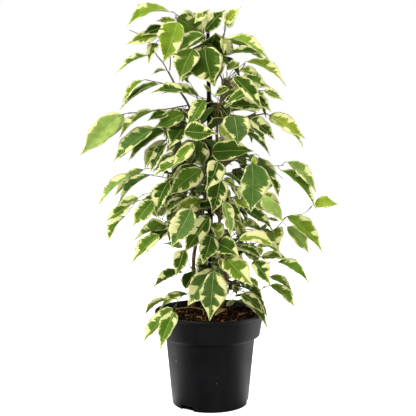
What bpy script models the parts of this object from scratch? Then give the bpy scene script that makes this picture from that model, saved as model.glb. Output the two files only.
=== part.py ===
"""A variegated weeping fig in its nursery pot.

Units are metres, +Z is up and the front faces -Y. The origin is the middle of the pot's foot.
"""

import math
import random

import bmesh
import bpy
from mathutils import Matrix, Vector
from mathutils.bvhtree import BVHTree
from mathutils.geometry import intersect_point_line

MM = 0.001
GAP = 0.3 * MM
WELD = 0.01 * MM
SLIVER = 0.02 * MM
SHARP_ANGLE = math.radians(50)

# Pot, from the lip down
POT_HEIGHT = 144 * MM
LIP_RADIUS = 85 * MM
LIP_DEPTH = 4 * MM
COLLAR_TOP_RADIUS = 81 * MM
COLLAR_FOOT_RADIUS = 76 * MM
COLLAR_FOOT_HEIGHT = 108 * MM
BODY_TOP_RADIUS = 68 * MM
BODY_TOP_HEIGHT = 103 * MM
FOOT_RADIUS = 58.3 * MM
FOOT_ROUNDING = 2 * MM
LIP_ROUNDING = 1.2 * MM
STEP_CHAMFER = 1 * MM
ARC_MIDDLE = 0.3
POT_WALL = 1.6 * MM
POT_FLOOR = 2 * MM
POT_STEPS = 32
NOTCH_COUNT = 3
NOTCH_WIDTH = 23 * MM
NOTCH_HEIGHT = 7.5 * MM
NOTCH_REACH = 6 * MM
NOTCH_AZIMUTH = math.radians(-127)

# Soil
SOIL_HEIGHT = 136 * MM
SOIL_MARGIN = 3 * MM
SOIL_BUMP = 1.6 * MM
SOIL_WAVES = (9 * MM, 11 * MM)
SOIL_PHASE = 1.3
CROSS_WAVE = 6 * MM
CROSS_PHASE = 0.4
CROSS_SHARE = 0.6
SOIL_RINGS = 4
HOLE_POINTS = 6
STEM_HOLE_MARGIN = 0.6 * MM
BURIED = 32 * MM

# Stake
STAKE_RADIUS = 2.6 * MM
STAKE_FOOT_HEIGHT = 40 * MM
STAKE_TOP = (207.9, 20.7)
STAKE_MIDDLE = (209.4, 228)

# Twigs and leaves
TWIG_ROOT_RADIUS = 1.35 * MM
TWIG_END_RADIUS = 1.1 * MM
TWIG_BEND_NEAR_ROOT = 0.6
PETIOLE_RADIUS = 0.75 * MM
PETIOLE_LENGTH = 11 * MM
PETIOLE_SINK = 0.3 * MM
PETIOLE_BEND_COST = 6 * MM
PETIOLE_PLACES = (0.2, 0.4, 0.6, 0.8)
BLADE_HALF_THICKNESS = 0.6 * MM
BLADE_RATIO = 0.38
BLADE_FOLD = math.radians(16)
BLADE_WAVE = 0.9 * MM
BLADE_WAVE_TURN = 2.3
BLADE_SKEW = 0.72
BLADE_FULLNESS = 0.9
TIP_START = 0.66
TIP_SPAN = 0.24
TIP_NARROWING = 0.5
BLADE_STATIONS = (0.17, 0.42, 0.67, 0.88)
COARSE_STATIONS = (0.24, 0.56, 0.84)
NARROW = 8
YOUNG_BLADE_RATIO = 2.6
LONGEST_FORESHORTENED = 50 * MM
LEAST_REACH = 0.12
INWARD_LIFT = -12
WIDTH_ALLOWANCE = 1.04
FULL_FACE = 0.97
SIDE_FAVOUR = 0.5
SQUARE_ENOUGH = 0.7
CLEARANCE = 0.45 * MM
TRIM_STEP = 0.1 * MM

# The view that the plant was read in: its eye, its downward pitch and its lens in pixels
EYE = Vector((-0.0035, -1.47, 0.463))
EYE_PITCH = math.radians(6.28)
LENS = 977
PICTURE_MIDDLE = 208
TWIG_STEPS = 4
STEM_STEPS = 2
STEM_SEARCH_STEPS = 12

# Leaves that face away from the eye show their underside
UPPER = 1
UNDER = -1


def leaf(base, tip, seen_width, lift=0, face=UPPER, arch=0.08, reach=None):
    """A blade as it is seen: base, tip and width in pixels, lift and reach in millimetres."""
    return {
        "base": base,
        "tip": tip,
        "seen_width": seen_width,
        "lift": lift,
        "face": face,
        "arch": arch,
        "reach": reach,
    }


# Each stem's course from the soil up, as (column, row, depth): pixels, and millimetres towards
# the eye. Its radii at the soil and at its upper end follow.
STEMS = {
    "stem_left": (
        [
            (193.6, 306, -50), (193.7, 280, -44), (193.9, 256, -38), (199, 230, -30),
            (204, 205, -22), (205.5, 170, -14), (205, 135, -10), (197, 125, -4),
            (186.8, 101.6, 0), (176.4, 86.6, 0), (168, 71.2, 0),
        ],
        3.6 * MM,
        1.9 * MM,
    ),
    "stem_right": (
        [
            (219, 311, -24), (225, 294, -14), (225.5, 276, -8), (221.5, 250, -5),
            (219, 213, -3), (217.3, 170, 0), (217, 133, 0), (218.3, 108, 0),
            (222, 98, 0), (223, 84, 0), (220.5, 75, 0),
        ],
        3.3 * MM,
        1.7 * MM,
    ),
    "stem_centre": (
        [
            (208, 308, -46), (210, 270, -32), (211.5, 228, -20), (211.5, 180, -14),
            (211, 130, -13), (210, 90, -11), (207, 58, -8), (203.8, 34, -4),
        ],
        3.1 * MM,
        1.6 * MM,
    ),
}

# Each shoot: the stem that it grows from, its twigs as (column, row, depth) courses, and its
# leaves. The first twig starts on the stem and any other starts on the first.
SHOOTS = {
    "crown_left": {
        "stem": "stem_centre",
        "twigs": [[(204, 46, -5), (193, 28, 10), (180, 17, 20), (172, 11.5, 24)]],
        "leaves": [
            leaf((169.4, 11.8), (126.1, 27.3), 8, lift=2, arch=0.14),
            leaf((174.9, 21), (155.1, 21.5), 6, lift=6),
            leaf((177.7, 22.1), (163.1, 63.4), 25, lift=16),
            leaf((165, 28), (140, 36), 9, lift=-10),
            leaf((176, 18), (201, 33), 17, lift=-14),
            leaf((192, 15), (182.6, 9.5), 5, lift=-4),
        ],
    },
    "crown_top": {
        "stem": "stem_centre",
        "twigs": [[(203.6, 35, -4), (204, 20, 2), (204.4, 12, 3)]],
        "leaves": [
            leaf((204.5, 17), (210, 8.6), 7, lift=-2),
            leaf((203, 14.5), (194, 24), 8, lift=6),
            leaf((205.3, 31.6), (225.7, 9.5), 12, lift=-6),
        ],
    },
    "crown_front": {
        "stem": "stem_centre",
        "twigs": [[(208, 66, -8), (206, 54, 20), (202, 44, 34)]],
        "leaves": [
            leaf((205, 47.6), (214.5, 86), 29, lift=12),
            leaf((193.5, 48.8), (179.8, 81.5), 20, lift=4),
            leaf((205, 35), (170, 56), 10, lift=-8),
            leaf((216, 33), (209, 50), 18, lift=-16),
        ],
    },
    "crown_right": {
        "stem": "stem_centre",
        "twigs": [[(209, 72, -10), (218, 53, 10), (223, 40, 18), (226, 27, 20)]],
        "leaves": [
            leaf((226, 22), (241.8, 6.3), 11),
            leaf((222.5, 38), (224, 54), 7, lift=-6),
            leaf((223.8, 39.5), (271, 63.8), 9, lift=6, arch=0.16),
            leaf((228.9, 53.9), (264, 55), 7, lift=-8),
        ],
    },
    "upper_right": {
        "stem": "stem_right",
        "twigs": [[(223, 88, 0), (229, 80, 8), (235, 76.3, 16), (240.2, 71, 22), (245.5, 63.5, 26)]],
        "leaves": [
            leaf((246.8, 61.5), (286.3, 87.4), 9, lift=3, arch=0.12),
            leaf((239, 70), (262, 76.5), 10, lift=-8),
            leaf((240.2, 78.6), (271.2, 88), 14),
            leaf((227, 70), (237, 64), 6, lift=-14),
        ],
    },
    "right_arch": {
        "stem": "stem_right",
        "twigs": [[(219, 104, 0), (230, 84, 34), (243, 83, 46), (254, 91, 48), (261, 103, 46)]],
        "leaves": [
            leaf((232.7, 76.6), (263.1, 111.3), 14, lift=12),
            leaf((252, 90), (223.5, 107), 10, lift=-8),
            leaf((255, 95), (271.8, 112.8), 8, lift=-4),
            leaf((262, 108), (223.5, 108), 12, lift=-18, arch=0.14),
            leaf((263.5, 90.5), (283.2, 101.2), 8, lift=-2),
        ],
    },
    "right_high": {
        "stem": "stem_right",
        "twigs": [[(217.2, 130, 0), (234, 120, 16), (250, 116.5, 24), (268, 113.5, 28)]],
        "leaves": [
            leaf((271.2, 115.7), (305.4, 138.8), 14, lift=3),
            leaf((284, 126), (303.3, 147.9), 5, lift=-14),
            leaf((250.5, 118.8), (275.5, 140.6), 10, lift=6),
            leaf((250, 126), (266, 144.6), 6, lift=-6),
            leaf((242, 132), (270.6, 156.7), 5, lift=-12),
            leaf((230, 112), (258, 112.8), 5, lift=-16),
        ],
    },
    "front_high": {
        "stem": "stem_right",
        "twigs": [[(217.2, 116, 0), (222, 101, 38), (230, 108, 70)]],
        "leaves": [
            leaf((233.9, 115.9), (238.2, 146.9), 26, lift=10),
            leaf((219, 125), (234, 145), 12, lift=-14),
            leaf((228, 87.8), (213, 97), 8, lift=-4),
            leaf((209.5, 91.2), (203, 83.5), 4, lift=-6),
        ],
    },
    "left_top": {
        "stem": "stem_left",
        "twigs": [[(168.6, 72, 0), (155, 58, 6), (144.4, 39.6, 10), (129.2, 30.1, 12)]],
        "leaves": [
            leaf((147.9, 55.4), (116.3, 73.5), 6, lift=4),
            leaf((166, 70.3), (151.3, 74.6), 3, lift=-6, face=UNDER),
        ],
    },
    "left_crown": {
        "stem": "stem_left",
        "twigs": [[(170, 74, 0), (170.4, 57.4, -6), (166, 44, -4), (160.5, 35, 0)]],
        "leaves": [
            leaf((158, 36), (125.5, 44.2), 10, lift=2),
            leaf((156, 43), (148.5, 63.7), 10, lift=4),
        ],
    },
    "upper_left": {
        "stem": "stem_left",
        "twigs": [[(177, 88, 0), (161, 83, 10), (146, 80, 16)]],
        "leaves": [
            leaf((142.5, 80.5), (122, 103.3), 7),
            leaf((159, 84), (118.8, 110.8), 5, lift=6),
        ],
    },
    "left_high": {
        "stem": "stem_left",
        "twigs": [[(189, 106, 0), (178, 107, 14), (168, 109, 24), (153, 110.5, 32), (128, 113.6, 38)]],
        "leaves": [
            leaf((183.6, 113.6), (153.8, 128), 12, lift=8),
            leaf((181, 113), (175, 108.5), 6, lift=-6),
            leaf((169, 114), (147.5, 121), 7, lift=-2),
            leaf((153.3, 111), (119.4, 138.3), 7, lift=4),
            leaf((120.5, 115.4), (80.3, 155.5), 21),
        ],
    },
    "front_left_high": {
        "stem": "stem_left",
        "twigs": [[(196, 123, -3), (200, 107, 30), (197, 97, 46)]],
        "leaves": [
            leaf((193, 96), (149.5, 93.5), 10, lift=4, arch=0.12),
            leaf((203.7, 100.4), (186.8, 127), 15, lift=8),
            leaf((188, 80.5), (182, 78), 6, lift=-10),
        ],
    },
    "left_mid": {
        "stem": "stem_left",
        "twigs": [[(203, 131, -8), (186, 126, 14), (168, 128, 28), (156, 128, 34)]],
        "leaves": [
            leaf((152.7, 129.7), (113, 163), 14, lift=8),
            leaf((165, 131), (127.5, 162), 9, lift=-8),
            leaf((184, 127), (170, 146.5), 19, lift=-4),
            leaf((165, 141.5), (144.2, 171.2), 8, lift=-4),
            leaf((165.8, 145.2), (150.6, 173), 9, lift=6),
            leaf((173, 146), (166, 153), 7, lift=-10),
        ],
    },
    "front_mid_left": {
        "stem": "stem_left",
        "twigs": [[(205, 144, -11), (194, 135, 40), (186, 131, 54)]],
        "leaves": [
            leaf((184, 131), (216.5, 133.5), 13, lift=8),
            leaf((193.4, 142.3), (172.4, 168.7), 14, lift=6),
            leaf((199, 141), (202.8, 167), 20, lift=-18),
        ],
    },
    "centre_left": {
        "stem": "stem_left",
        "twigs": [[(205.3, 166, -13), (201, 162, 34), (194, 157, 50)]],
        "leaves": [
            leaf((186.7, 157.5), (151.7, 178.1), 10),
            leaf((201.7, 168.9), (167.8, 197), 18, lift=16),
            leaf((211.5, 152.1), (254.5, 151.2), 20, lift=-6),
        ],
    },
    "left_outer": {
        "stem": "stem_left",
        "twigs": [[(205, 188, -18), (188, 180, 16), (170.5, 178.5, 32), (151, 175, 40), (137, 173.5, 42)]],
        "leaves": [
            leaf((132.5, 174.7), (98, 205.7), 8),
            leaf((149.7, 175.3), (117.6, 206.3), 6, lift=-6),
            leaf((168.1, 182.1), (156.3, 216.6), 12, lift=6),
            leaf((200, 196), (190, 186), 8, lift=-8, face=UNDER),
        ],
    },
    "left_low_mid": {
        "stem": "stem_left",
        "twigs": [[(203.5, 208, -23), (188, 197, 20), (168, 196, 36), (150, 198, 44), (134, 202, 46)]],
        "leaves": [
            leaf((199.9, 201.7), (173.5, 212), 12, lift=10),
            leaf((183, 198), (164, 213), 9, lift=-12),
            leaf((157, 196), (141, 203), 6, lift=-8),
            leaf((153.1, 200.5), (132.2, 227.5), 16, lift=8),
            leaf((130.2, 205.1), (104.1, 223.5), 10, lift=-2),
            leaf((125.6, 216), (107.8, 243.5), 6, lift=-10),
        ],
    },
    "left_low": {
        "stem": "stem_left",
        "twigs": [[(198, 234, -31), (184, 233, 14), (169.2, 223.2, 32), (158, 217, 36)]],
        "leaves": [
            leaf((150, 206), (157, 218), 6, face=UNDER),
            leaf((167, 207), (157, 216), 8, lift=-4, face=UNDER),
            leaf((167.5, 226.3), (133.1, 241.8), 7, lift=-4),
            leaf((159.5, 234.4), (130.8, 265.4), 12, lift=10),
            leaf((167.5, 229.2), (146, 255.6), 9, lift=-2),
            leaf((182.7, 247), (162.3, 243.5), 6, lift=-14, face=UNDER),
        ],
    },
    "front_low_left": {
        "stem": "stem_left",
        "twigs": [[(202, 216, -25), (202, 209, 40), (195, 206, 60)]],
        "leaves": [
            leaf((191.3, 209.1), (170.7, 248.7), 22, lift=12),
            leaf((209.7, 215.4), (182.7, 254.4), 16, lift=-14),
        ],
    },
    "low_left": {
        "stem": "stem_left",
        "twigs": [[(194, 262, -39), (191, 268, 0), (187, 256, 30)]],
        "leaves": [
            leaf((184.4, 249.9), (175.8, 276.8), 12),
            leaf((183, 272.2), (152.3, 288.6), 7),
        ],
    },
    "front_centre": {
        "stem": "stem_right",
        "twigs": [[(217.6, 182, 0), (219, 172, 44), (217.5, 162, 64)]],
        "leaves": [
            leaf((218, 161.5), (205.1, 190.2), 19, lift=10),
            leaf((220.6, 178.1), (211.5, 214), 20, lift=4),
            leaf((224, 178), (236, 189), 7, lift=-20),
            leaf((226, 191), (230, 200.5), 7, lift=12),
            leaf((236, 187), (240, 201), 8, lift=14),
        ],
    },
    "front_right": {
        "stem": "stem_right",
        "twigs": [[(217.3, 168, 0), (236, 160, 46), (249, 159, 78)]],
        "leaves": [
            leaf((251.6, 163.2), (250.5, 213), 29, lift=6),
            leaf((251.9, 162.3), (253, 155.5), 7, lift=-4),
            leaf((268.6, 176.4), (278.9, 199), 7, lift=-24),
        ],
    },
    "right_outer": {
        "stem": "stem_right",
        "twigs": [
            [(217.4, 176, 0), (240, 170, 16), (262.8, 166.6, 28), (284, 165.5, 34)],
            [(268, 166.5, 29), (274, 171, 32), (282.9, 178.7, 36)],
        ],
        "leaves": [
            leaf((287, 162), (316.5, 193), 12, lift=-8),
            leaf((280.7, 170.1), (316.3, 210.6), 9, lift=8),
        ],
    },
    "right_mid": {
        "stem": "stem_right",
        "twigs": [[(219, 216, -3), (238, 204, 22), (254, 198, 34)]],
        "leaves": [
            leaf((263.4, 193), (281.5, 204.5), 9, lift=-6),
            leaf((262, 198), (284, 223), 14, lift=6),
            leaf((245.6, 211), (273.7, 232.7), 8, lift=14),
            leaf((240, 199), (252, 210), 12, lift=-10),
            leaf((226.6, 200.5), (242.7, 224.1), 10, lift=-8),
        ],
    },
    "right_far": {
        "stem": "stem_right",
        "twigs": [
            [
                (220, 234, -4), (245, 229, 8), (272, 231, 18), (286.9, 216.6, 24),
                (303, 214, 26), (312, 206.5, 26),
            ]
        ],
        "leaves": [
            leaf((314.5, 204.2), (339.5, 204.5), 11),
            leaf((287, 217), (322.5, 253), 14, lift=2),
            leaf((287, 226.5), (309.3, 254), 13, lift=12),
            leaf((265, 219.5), (280, 222), 4, lift=-8, face=UNDER),
            leaf((274, 230), (278.2, 249), 15, lift=-8),
        ],
    },
    "front_centre_low": {
        "stem": "stem_right",
        "twigs": [[(219.3, 222, -3), (221, 208, 40), (223, 199, 56)]],
        "leaves": [
            leaf((223.2, 201.1), (231, 238), 12, lift=8, face=UNDER),
            leaf((236, 221), (243, 240), 9, lift=-24),
        ],
    },
    "low_right": {
        "stem": "stem_right",
        "twigs": [
            [(222, 254, -5), (232, 246, 28), (240, 243, 46), (256, 244, 54)],
            [(250, 243, 51), (258, 254, 52), (270, 264, 52)],
        ],
        "leaves": [
            leaf((238, 240), (269, 247), 10, lift=14, arch=0.22),
            leaf((262, 243), (284, 261), 5, lift=-4),
            leaf((254, 243), (248, 254), 7, lift=-16),
            leaf((256, 247), (262, 255), 7, lift=-16),
            leaf((239.3, 247.4), (262.9, 260.8), 7, lift=4),
            leaf((261, 257), (291, 260), 8, lift=-8),
            leaf((277, 262.1), (310.2, 284.8), 7, lift=2),
            leaf((253.4, 260.8), (269.3, 283.8), 12, lift=12),
        ],
    },
    "low_centre": {
        "stem": "stem_right",
        "twigs": [[(225, 288, -12), (227, 268, 30), (222, 255, 46)]],
        "leaves": [
            leaf((225.9, 257.6), (247, 280), 17, lift=16),
            leaf((219, 258), (224, 272), 8, lift=-16),
            leaf((225.9, 271.7), (246.7, 287.3), 5, lift=6),
            leaf((248.9, 277.4), (258.8, 289.5), 5, lift=-4),
            leaf((218.9, 244.7), (237, 256.5), 16, lift=-6),
            leaf((211, 236), (202, 265), 18, lift=-2),
            leaf((218, 239), (214, 222), 13, lift=-20),
        ],
    },
    "low_front": {
        "stem": "stem_left",
        "twigs": [[(193.7, 288, -46), (200, 278, 30), (209, 268, 68)]],
        "leaves": [
            leaf((212.5, 268.5), (187.5, 306), 19, lift=-4),
            leaf((213.7, 271.1), (209.5, 321.3), 25, lift=12),
            leaf((200, 290), (194, 301.5), 7, lift=-26),
        ],
    },
    "rim_left": {
        "stem": "stem_left",
        "twigs": [[(193.7, 302, -49), (188, 293, -10), (180, 298, 30), (176, 303, 46)]],
        "leaves": [
            leaf((173.6, 308.1), (142.1, 344.9), 12, lift=4, reach=10),
            leaf((174.8, 312.1), (160.4, 350), 18, lift=16, reach=22),
            leaf((188, 295), (158, 312), 9, lift=4, arch=0.2),
            leaf((165.6, 298.4), (143.2, 316.7), 6, lift=-14, face=UNDER),
        ],
    },
    "rim_right": {
        "stem": "stem_right",
        "twigs": [
            [(223, 299, -17), (229, 290, 12), (241, 291, 34), (253.4, 292.5, 42), (266, 286.5, 44)],
        ],
        "leaves": [
            leaf((269.3, 285.1), (295.5, 308), 10, lift=2),
            leaf((240.8, 293.7), (263, 314), 10, lift=2),
            leaf((232, 302), (267.6, 329), 9, lift=24, arch=0.2, reach=20),
            leaf((235, 300), (226, 306), 5, face=UNDER),
        ],
    },
}

# Front shoots that have a like shoot on the far side of the stems, without its narrow leaves
FAR_SHOOTS = (
    "crown_front", "crown_right", "right_arch", "right_high", "front_high", "left_high",
    "front_left_high", "left_mid", "front_mid_left", "centre_left", "left_outer",
    "left_low_mid", "left_low", "front_low_left", "front_centre", "front_right", "right_mid",
    "front_centre_low", "low_right", "low_centre", "low_front", "rim_right",
)
FAR_SEED = 11
FAR_TURN = math.radians(16)
FAR_SHARE = 0.95
FAR_LEAST_DEPTH = 0.45

# Ways in which a leaf gives way, in millimetres along the line of sight and degrees of roll
LIFTS = (0, 4, -4, 8, -8, 13, -13, 19, -19, 26, -26, -36, -48)
SWINGS = (0, 7, -7, 14, -14, 22, -22, 31, -31)
ROLLS = (0, 16, -16, 34, -34)
SWING_WEIGHT = 0.7
ROLL_WEIGHT = 0.25

# Ways in which a twig gives way, in millimetres
TWIG_SHIFTS = (0, 2.5, -2.5, 5, -5, 8, -8, 12, -12)

# Finishes, as a name, a colour in linear light and a roughness
POT_PLASTIC = ("pot_plastic", (0.012, 0.013, 0.015), 0.42)
STAKE_PLASTIC = ("stake_plastic", (0.01, 0.01, 0.01), 0.5)
BARK_MIX = ("bark_mix", (0.035, 0.02, 0.012), 0.95)
BARK = ("bark", (0.16, 0.09, 0.05), 0.8)
LEAF_GREEN = ("leaf_green", (0.11, 0.24, 0.05), 0.4)


def seen_at(column, row, depth):
    """The point that the eye sees at this pixel, depth millimetres in front of the stems."""
    ahead = Vector((0, math.cos(EYE_PITCH), -math.sin(EYE_PITCH)))
    upward = Vector((0, math.sin(EYE_PITCH), math.cos(EYE_PITCH)))
    across = Vector((1, 0, 0))
    ray = ahead + across * (column - PICTURE_MIDDLE) / LENS
    ray += upward * (PICTURE_MIDDLE - row) / LENS
    return EYE + ray * ((-depth * MM - EYE.y) / ray.y)


def smooth(points, steps):
    """A Catmull-Rom curve through the points, with this many steps in each span."""
    points = [Vector(p) for p in points]
    padded = [points[0] * 2 - points[1], *points, points[-1] * 2 - points[-2]]
    found = []
    for a, b, c, d in zip(padded, padded[1:], padded[2:], padded[3:]):
        for step in range(steps):
            t = step / steps
            found.append(
                0.5 * (2 * b + (c - a) * t + (2 * a - 5 * b + 4 * c - d) * t**2
                       + (3 * b - a - 3 * c + d) * t**3)
            )
    return [*found, points[-1]]


def nearest_in_picture(course, column, row):
    """The index of the course's point that is nearest to the pixel."""
    return min(
        range(len(course)),
        key=lambda i: (course[i].x - column) ** 2 + (course[i].y - row) ** 2,
    )


def material(name, colour, roughness):
    found = bpy.data.materials.new(name)
    found.use_nodes = True
    shader = found.node_tree.nodes["Principled BSDF"]
    shader.inputs["Base Color"].default_value = (*colour, 1)
    shader.inputs["Roughness"].default_value = roughness
    shader.inputs["Metallic"].default_value = 0
    return found


def add_mesh(name, mesh, collection, look):
    obj = bpy.data.objects.new(name, mesh)
    collection.objects.link(obj)
    mesh.materials.clear()
    mesh.materials.append(look)
    return obj


def evaluated_mesh(obj):
    graph = bpy.context.evaluated_depsgraph_get()
    return bpy.data.meshes.new_from_object(obj.evaluated_get(graph))


def tube(name, points, radii, sides_extra, collection, look):
    """A closed tube through the points, as a mesh with its caps welded on."""
    curve = bpy.data.curves.new(name, "CURVE")
    curve.dimensions = "3D"
    curve.bevel_depth = 1
    curve.bevel_resolution = sides_extra
    curve.use_fill_caps = True
    spline = curve.splines.new("POLY")
    spline.points.add(len(points) - 1)
    for place, point, radius in zip(spline.points, points, radii):
        place.co = (*point, 1)
        place.radius = radius
    guide = bpy.data.objects.new(name, curve)
    collection.objects.link(guide)
    mesh = evaluated_mesh(guide)
    bpy.data.objects.remove(guide)
    bpy.data.curves.remove(curve)
    work = bmesh.new()
    work.from_mesh(mesh)
    bmesh.ops.remove_doubles(work, verts=work.verts, dist=WELD)
    bmesh.ops.recalc_face_normals(work, faces=work.faces)
    work.to_mesh(mesh)
    work.free()
    return add_mesh(name, mesh, collection, look)


def tapered(start, end, count):
    """Radii that run evenly from start to end."""
    return [start + (end - start) * i / (count - 1) for i in range(count)]


def turned(name, profile, steps, collection, look):
    """A closed solid turned from a profile that starts and ends on the axis."""
    mesh = bpy.data.meshes.new(name)
    edges = [(i, i + 1) for i in range(len(profile) - 1)]
    mesh.from_pydata([(radius, 0, height) for radius, height in profile], edges, [])
    obj = add_mesh(name, mesh, collection, look)
    screw = obj.modifiers.new("turn", "SCREW")
    screw.steps = steps
    screw.render_steps = steps
    screw.use_merge_vertices = True
    screw.merge_threshold = WELD
    screw.use_normal_calculate = True
    return obj


def cut(obj, cutters):
    """Takes every object of the collection out of the object."""
    boolean = obj.modifiers.new("cut", "BOOLEAN")
    boolean.operation = "DIFFERENCE"
    boolean.operand_type = "COLLECTION"
    boolean.collection = cutters
    boolean.solver = "EXACT"


def hide(cutter):
    cutter.hide_render = True
    cutter.display_type = "WIRE"


def new_collection(name):
    found = bpy.data.collections.new(name)
    bpy.context.scene.collection.children.link(found)
    return found


def build_pot(collection):
    """The black pot: a floor, a tapering wall, a deep collar and a rolled lip."""
    inner_lip = COLLAR_TOP_RADIUS - POT_WALL
    inner_collar = COLLAR_FOOT_RADIUS - POT_WALL
    inner_body = BODY_TOP_RADIUS - POT_WALL
    inner_foot = FOOT_RADIUS - POT_WALL
    profile = [
        (0, POT_FLOOR),
        (inner_foot, POT_FLOOR),
        (inner_body, BODY_TOP_HEIGHT + POT_WALL),
        (inner_collar, COLLAR_FOOT_HEIGHT + POT_WALL),
        (inner_lip, POT_HEIGHT - LIP_DEPTH),
        (LIP_RADIUS - 3 * POT_WALL, POT_HEIGHT - LIP_ROUNDING / 3),
        (LIP_RADIUS - 2 * POT_WALL, POT_HEIGHT),
        (LIP_RADIUS - LIP_ROUNDING / 2, POT_HEIGHT - LIP_ROUNDING / 4),
        (LIP_RADIUS, POT_HEIGHT - LIP_ROUNDING),
        (LIP_RADIUS - LIP_ROUNDING / 4, POT_HEIGHT - LIP_DEPTH),
        (COLLAR_TOP_RADIUS, POT_HEIGHT - LIP_DEPTH - STEP_CHAMFER),
        (COLLAR_FOOT_RADIUS, COLLAR_FOOT_HEIGHT),
        (COLLAR_FOOT_RADIUS - STEP_CHAMFER, COLLAR_FOOT_HEIGHT - STEP_CHAMFER),
        (BODY_TOP_RADIUS, BODY_TOP_HEIGHT),
        (FOOT_RADIUS, FOOT_ROUNDING),
        (FOOT_RADIUS - ARC_MIDDLE * FOOT_ROUNDING, ARC_MIDDLE * FOOT_ROUNDING),
        (FOOT_RADIUS - FOOT_ROUNDING, 0),
        (0, 0),
    ]
    pot = turned("pot", profile, POT_STEPS, collection, material(*POT_PLASTIC))
    cutters = new_collection("pot_cutters")
    for turn in range(NOTCH_COUNT):
        azimuth = NOTCH_AZIMUTH + turn * math.tau / NOTCH_COUNT
        outward = Vector((math.cos(azimuth), math.sin(azimuth), 0))
        middle = outward * FOOT_RADIUS
        bpy.ops.mesh.primitive_cube_add(size=1, location=middle, rotation=(0, 0, azimuth))
        notch = bpy.context.object
        notch.name = f"notch_{turn}"
        notch.scale = (2 * NOTCH_REACH, NOTCH_WIDTH, 2 * NOTCH_HEIGHT)
        for holder in notch.users_collection:
            holder.objects.unlink(notch)
        cutters.objects.link(notch)
        hide(notch)
    cut(pot, cutters)
    return pot


def soil_height(x, y):
    """The height of the soil's rough top, from a sum of waves."""
    wave = math.sin(x / SOIL_WAVES[0] + SOIL_PHASE) * math.cos(y / SOIL_WAVES[1])
    wave += CROSS_SHARE * math.sin((x + y) / CROSS_WAVE + CROSS_PHASE)
    return SOIL_HEIGHT + SOIL_BUMP * wave / (1 + CROSS_SHARE)


def build_soil(collection, stem_paths, stake_path):
    """The soil block, which fills the pot, with a plain hole for each stem and the stake."""
    top_radius = COLLAR_TOP_RADIUS - POT_WALL - SOIL_MARGIN
    collar_radius = COLLAR_FOOT_RADIUS - POT_WALL - GAP
    body_radius = BODY_TOP_RADIUS - POT_WALL - GAP
    foot_radius = FOOT_RADIUS - POT_WALL - GAP
    profile = [(top_radius * ring / SOIL_RINGS, SOIL_HEIGHT) for ring in range(SOIL_RINGS + 1)]
    profile += [
        (collar_radius, COLLAR_FOOT_HEIGHT + POT_WALL + 2 * GAP),
        (body_radius, BODY_TOP_HEIGHT + POT_WALL + GAP),
        (foot_radius, POT_FLOOR + GAP),
        (0, POT_FLOOR + GAP),
    ]
    look = material(*BARK_MIX)
    soil = turned("soil", profile, POT_STEPS, collection, look)
    soil.data = evaluated_mesh(soil)
    soil.modifiers.clear()
    for vertex in soil.data.vertices:
        if vertex.co.z > SOIL_HEIGHT - MM and vertex.co.xy.length < top_radius - MM:
            vertex.co.z = soil_height(vertex.co.x, vertex.co.y)
    cutters = new_collection("soil_cutters")
    for name, (points, radii) in stem_paths.items():
        below = points[0] + (points[0] - points[1]).normalized() * STEM_HOLE_MARGIN
        wide = [radius + STEM_HOLE_MARGIN for radius in radii]
        course = [below, *points[:HOLE_POINTS]]
        hide(tube(f"hole_{name}", course, wide[:len(course)], 1, cutters, look))
    stake_foot = stake_path[0] - Vector((0, 0, STEM_HOLE_MARGIN))
    hole_radii = [STAKE_RADIUS + STEM_HOLE_MARGIN] * 2
    hide(tube("hole_stake", [stake_foot, stake_path[1]], hole_radii, 2, cutters, look))
    cut(soil, cutters)
    return soil


def stem_path(name):
    """A stem's points and radii, from its buried foot to its upper end."""
    course, foot_radius, end_radius = STEMS[name]
    points = [seen_at(*place) for place in smooth(course, STEM_STEPS)]
    points = [points[0] - Vector((0, 0, BURIED)), *points]
    return points, tapered(foot_radius, end_radius, len(points))


def stake_path():
    """The stake's two ends: its foot in the soil and its top, on one straight line."""
    top = seen_at(*STAKE_TOP, 0)
    middle = seen_at(*STAKE_MIDDLE, 0)
    down = middle - top
    foot = top + down * ((top.z - STAKE_FOOT_HEIGHT) / -down.z)
    return [foot, top]


def blade_frame(stations):
    """One leaf's points as (ring, across, rise) and its triangles, from a four-sided sphere.

    Ring 0 is the petiole's root and the last ring the blade's tip. Across is 1 or -1 on the two
    edges, and rise is 1 or -1 on the upper and lower face of the midrib.
    """
    rings = len(stations) + 3
    work = bmesh.new()
    bmesh.ops.create_uvsphere(work, u_segments=4, v_segments=rings, radius=1)
    place = {}
    for vertex in work.verts:
        ring = round(math.acos(max(-1, min(1, vertex.co.z))) / math.pi * rings)
        flat = vertex.co.xy.normalized() if 0 < ring < rings else Vector((0, 0))
        place[vertex] = (ring, round(flat.x), round(flat.y))
    for face in [f for f in work.faces if len(f.verts) == 4]:
        near = min(place[v][0] for v in face.verts)
        edge = next(v for v in face.verts if place[v][0] == near and place[v][1])
        rib = next(v for v in face.verts if place[v][0] > near and place[v][2])
        bmesh.utils.face_split(face, edge, rib)
    work.verts.index_update()
    points = [place[vertex] for vertex in work.verts]
    faces = [[vertex.index for vertex in face.verts] for face in work.faces]
    work.free()
    return points, faces


FRAMES = {stations: blade_frame(stations) for stations in (BLADE_STATIONS, COARSE_STATIONS)}


def blade_half_width(t):
    """Half the blade's width at t, as a share of its full width: ovate with a drawn-out tip."""
    body = math.sin(math.pi * t**BLADE_SKEW) ** BLADE_FULLNESS
    narrowing = min(1, max(0, (t - TIP_START) / TIP_SPAN))
    return 0.5 * body * (1 - TIP_NARROWING * narrowing)


def square_to(direction, side, normal):
    """A side and a normal that are square to the direction, as near as may be to those given."""
    if abs(side.dot(direction)) < SQUARE_ENOUGH:
        side = (side - direction * side.dot(direction)).normalized()
        return side, side.cross(direction)
    normal = (normal - direction * normal.dot(direction)).normalized()
    return direction.cross(normal), normal


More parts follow.
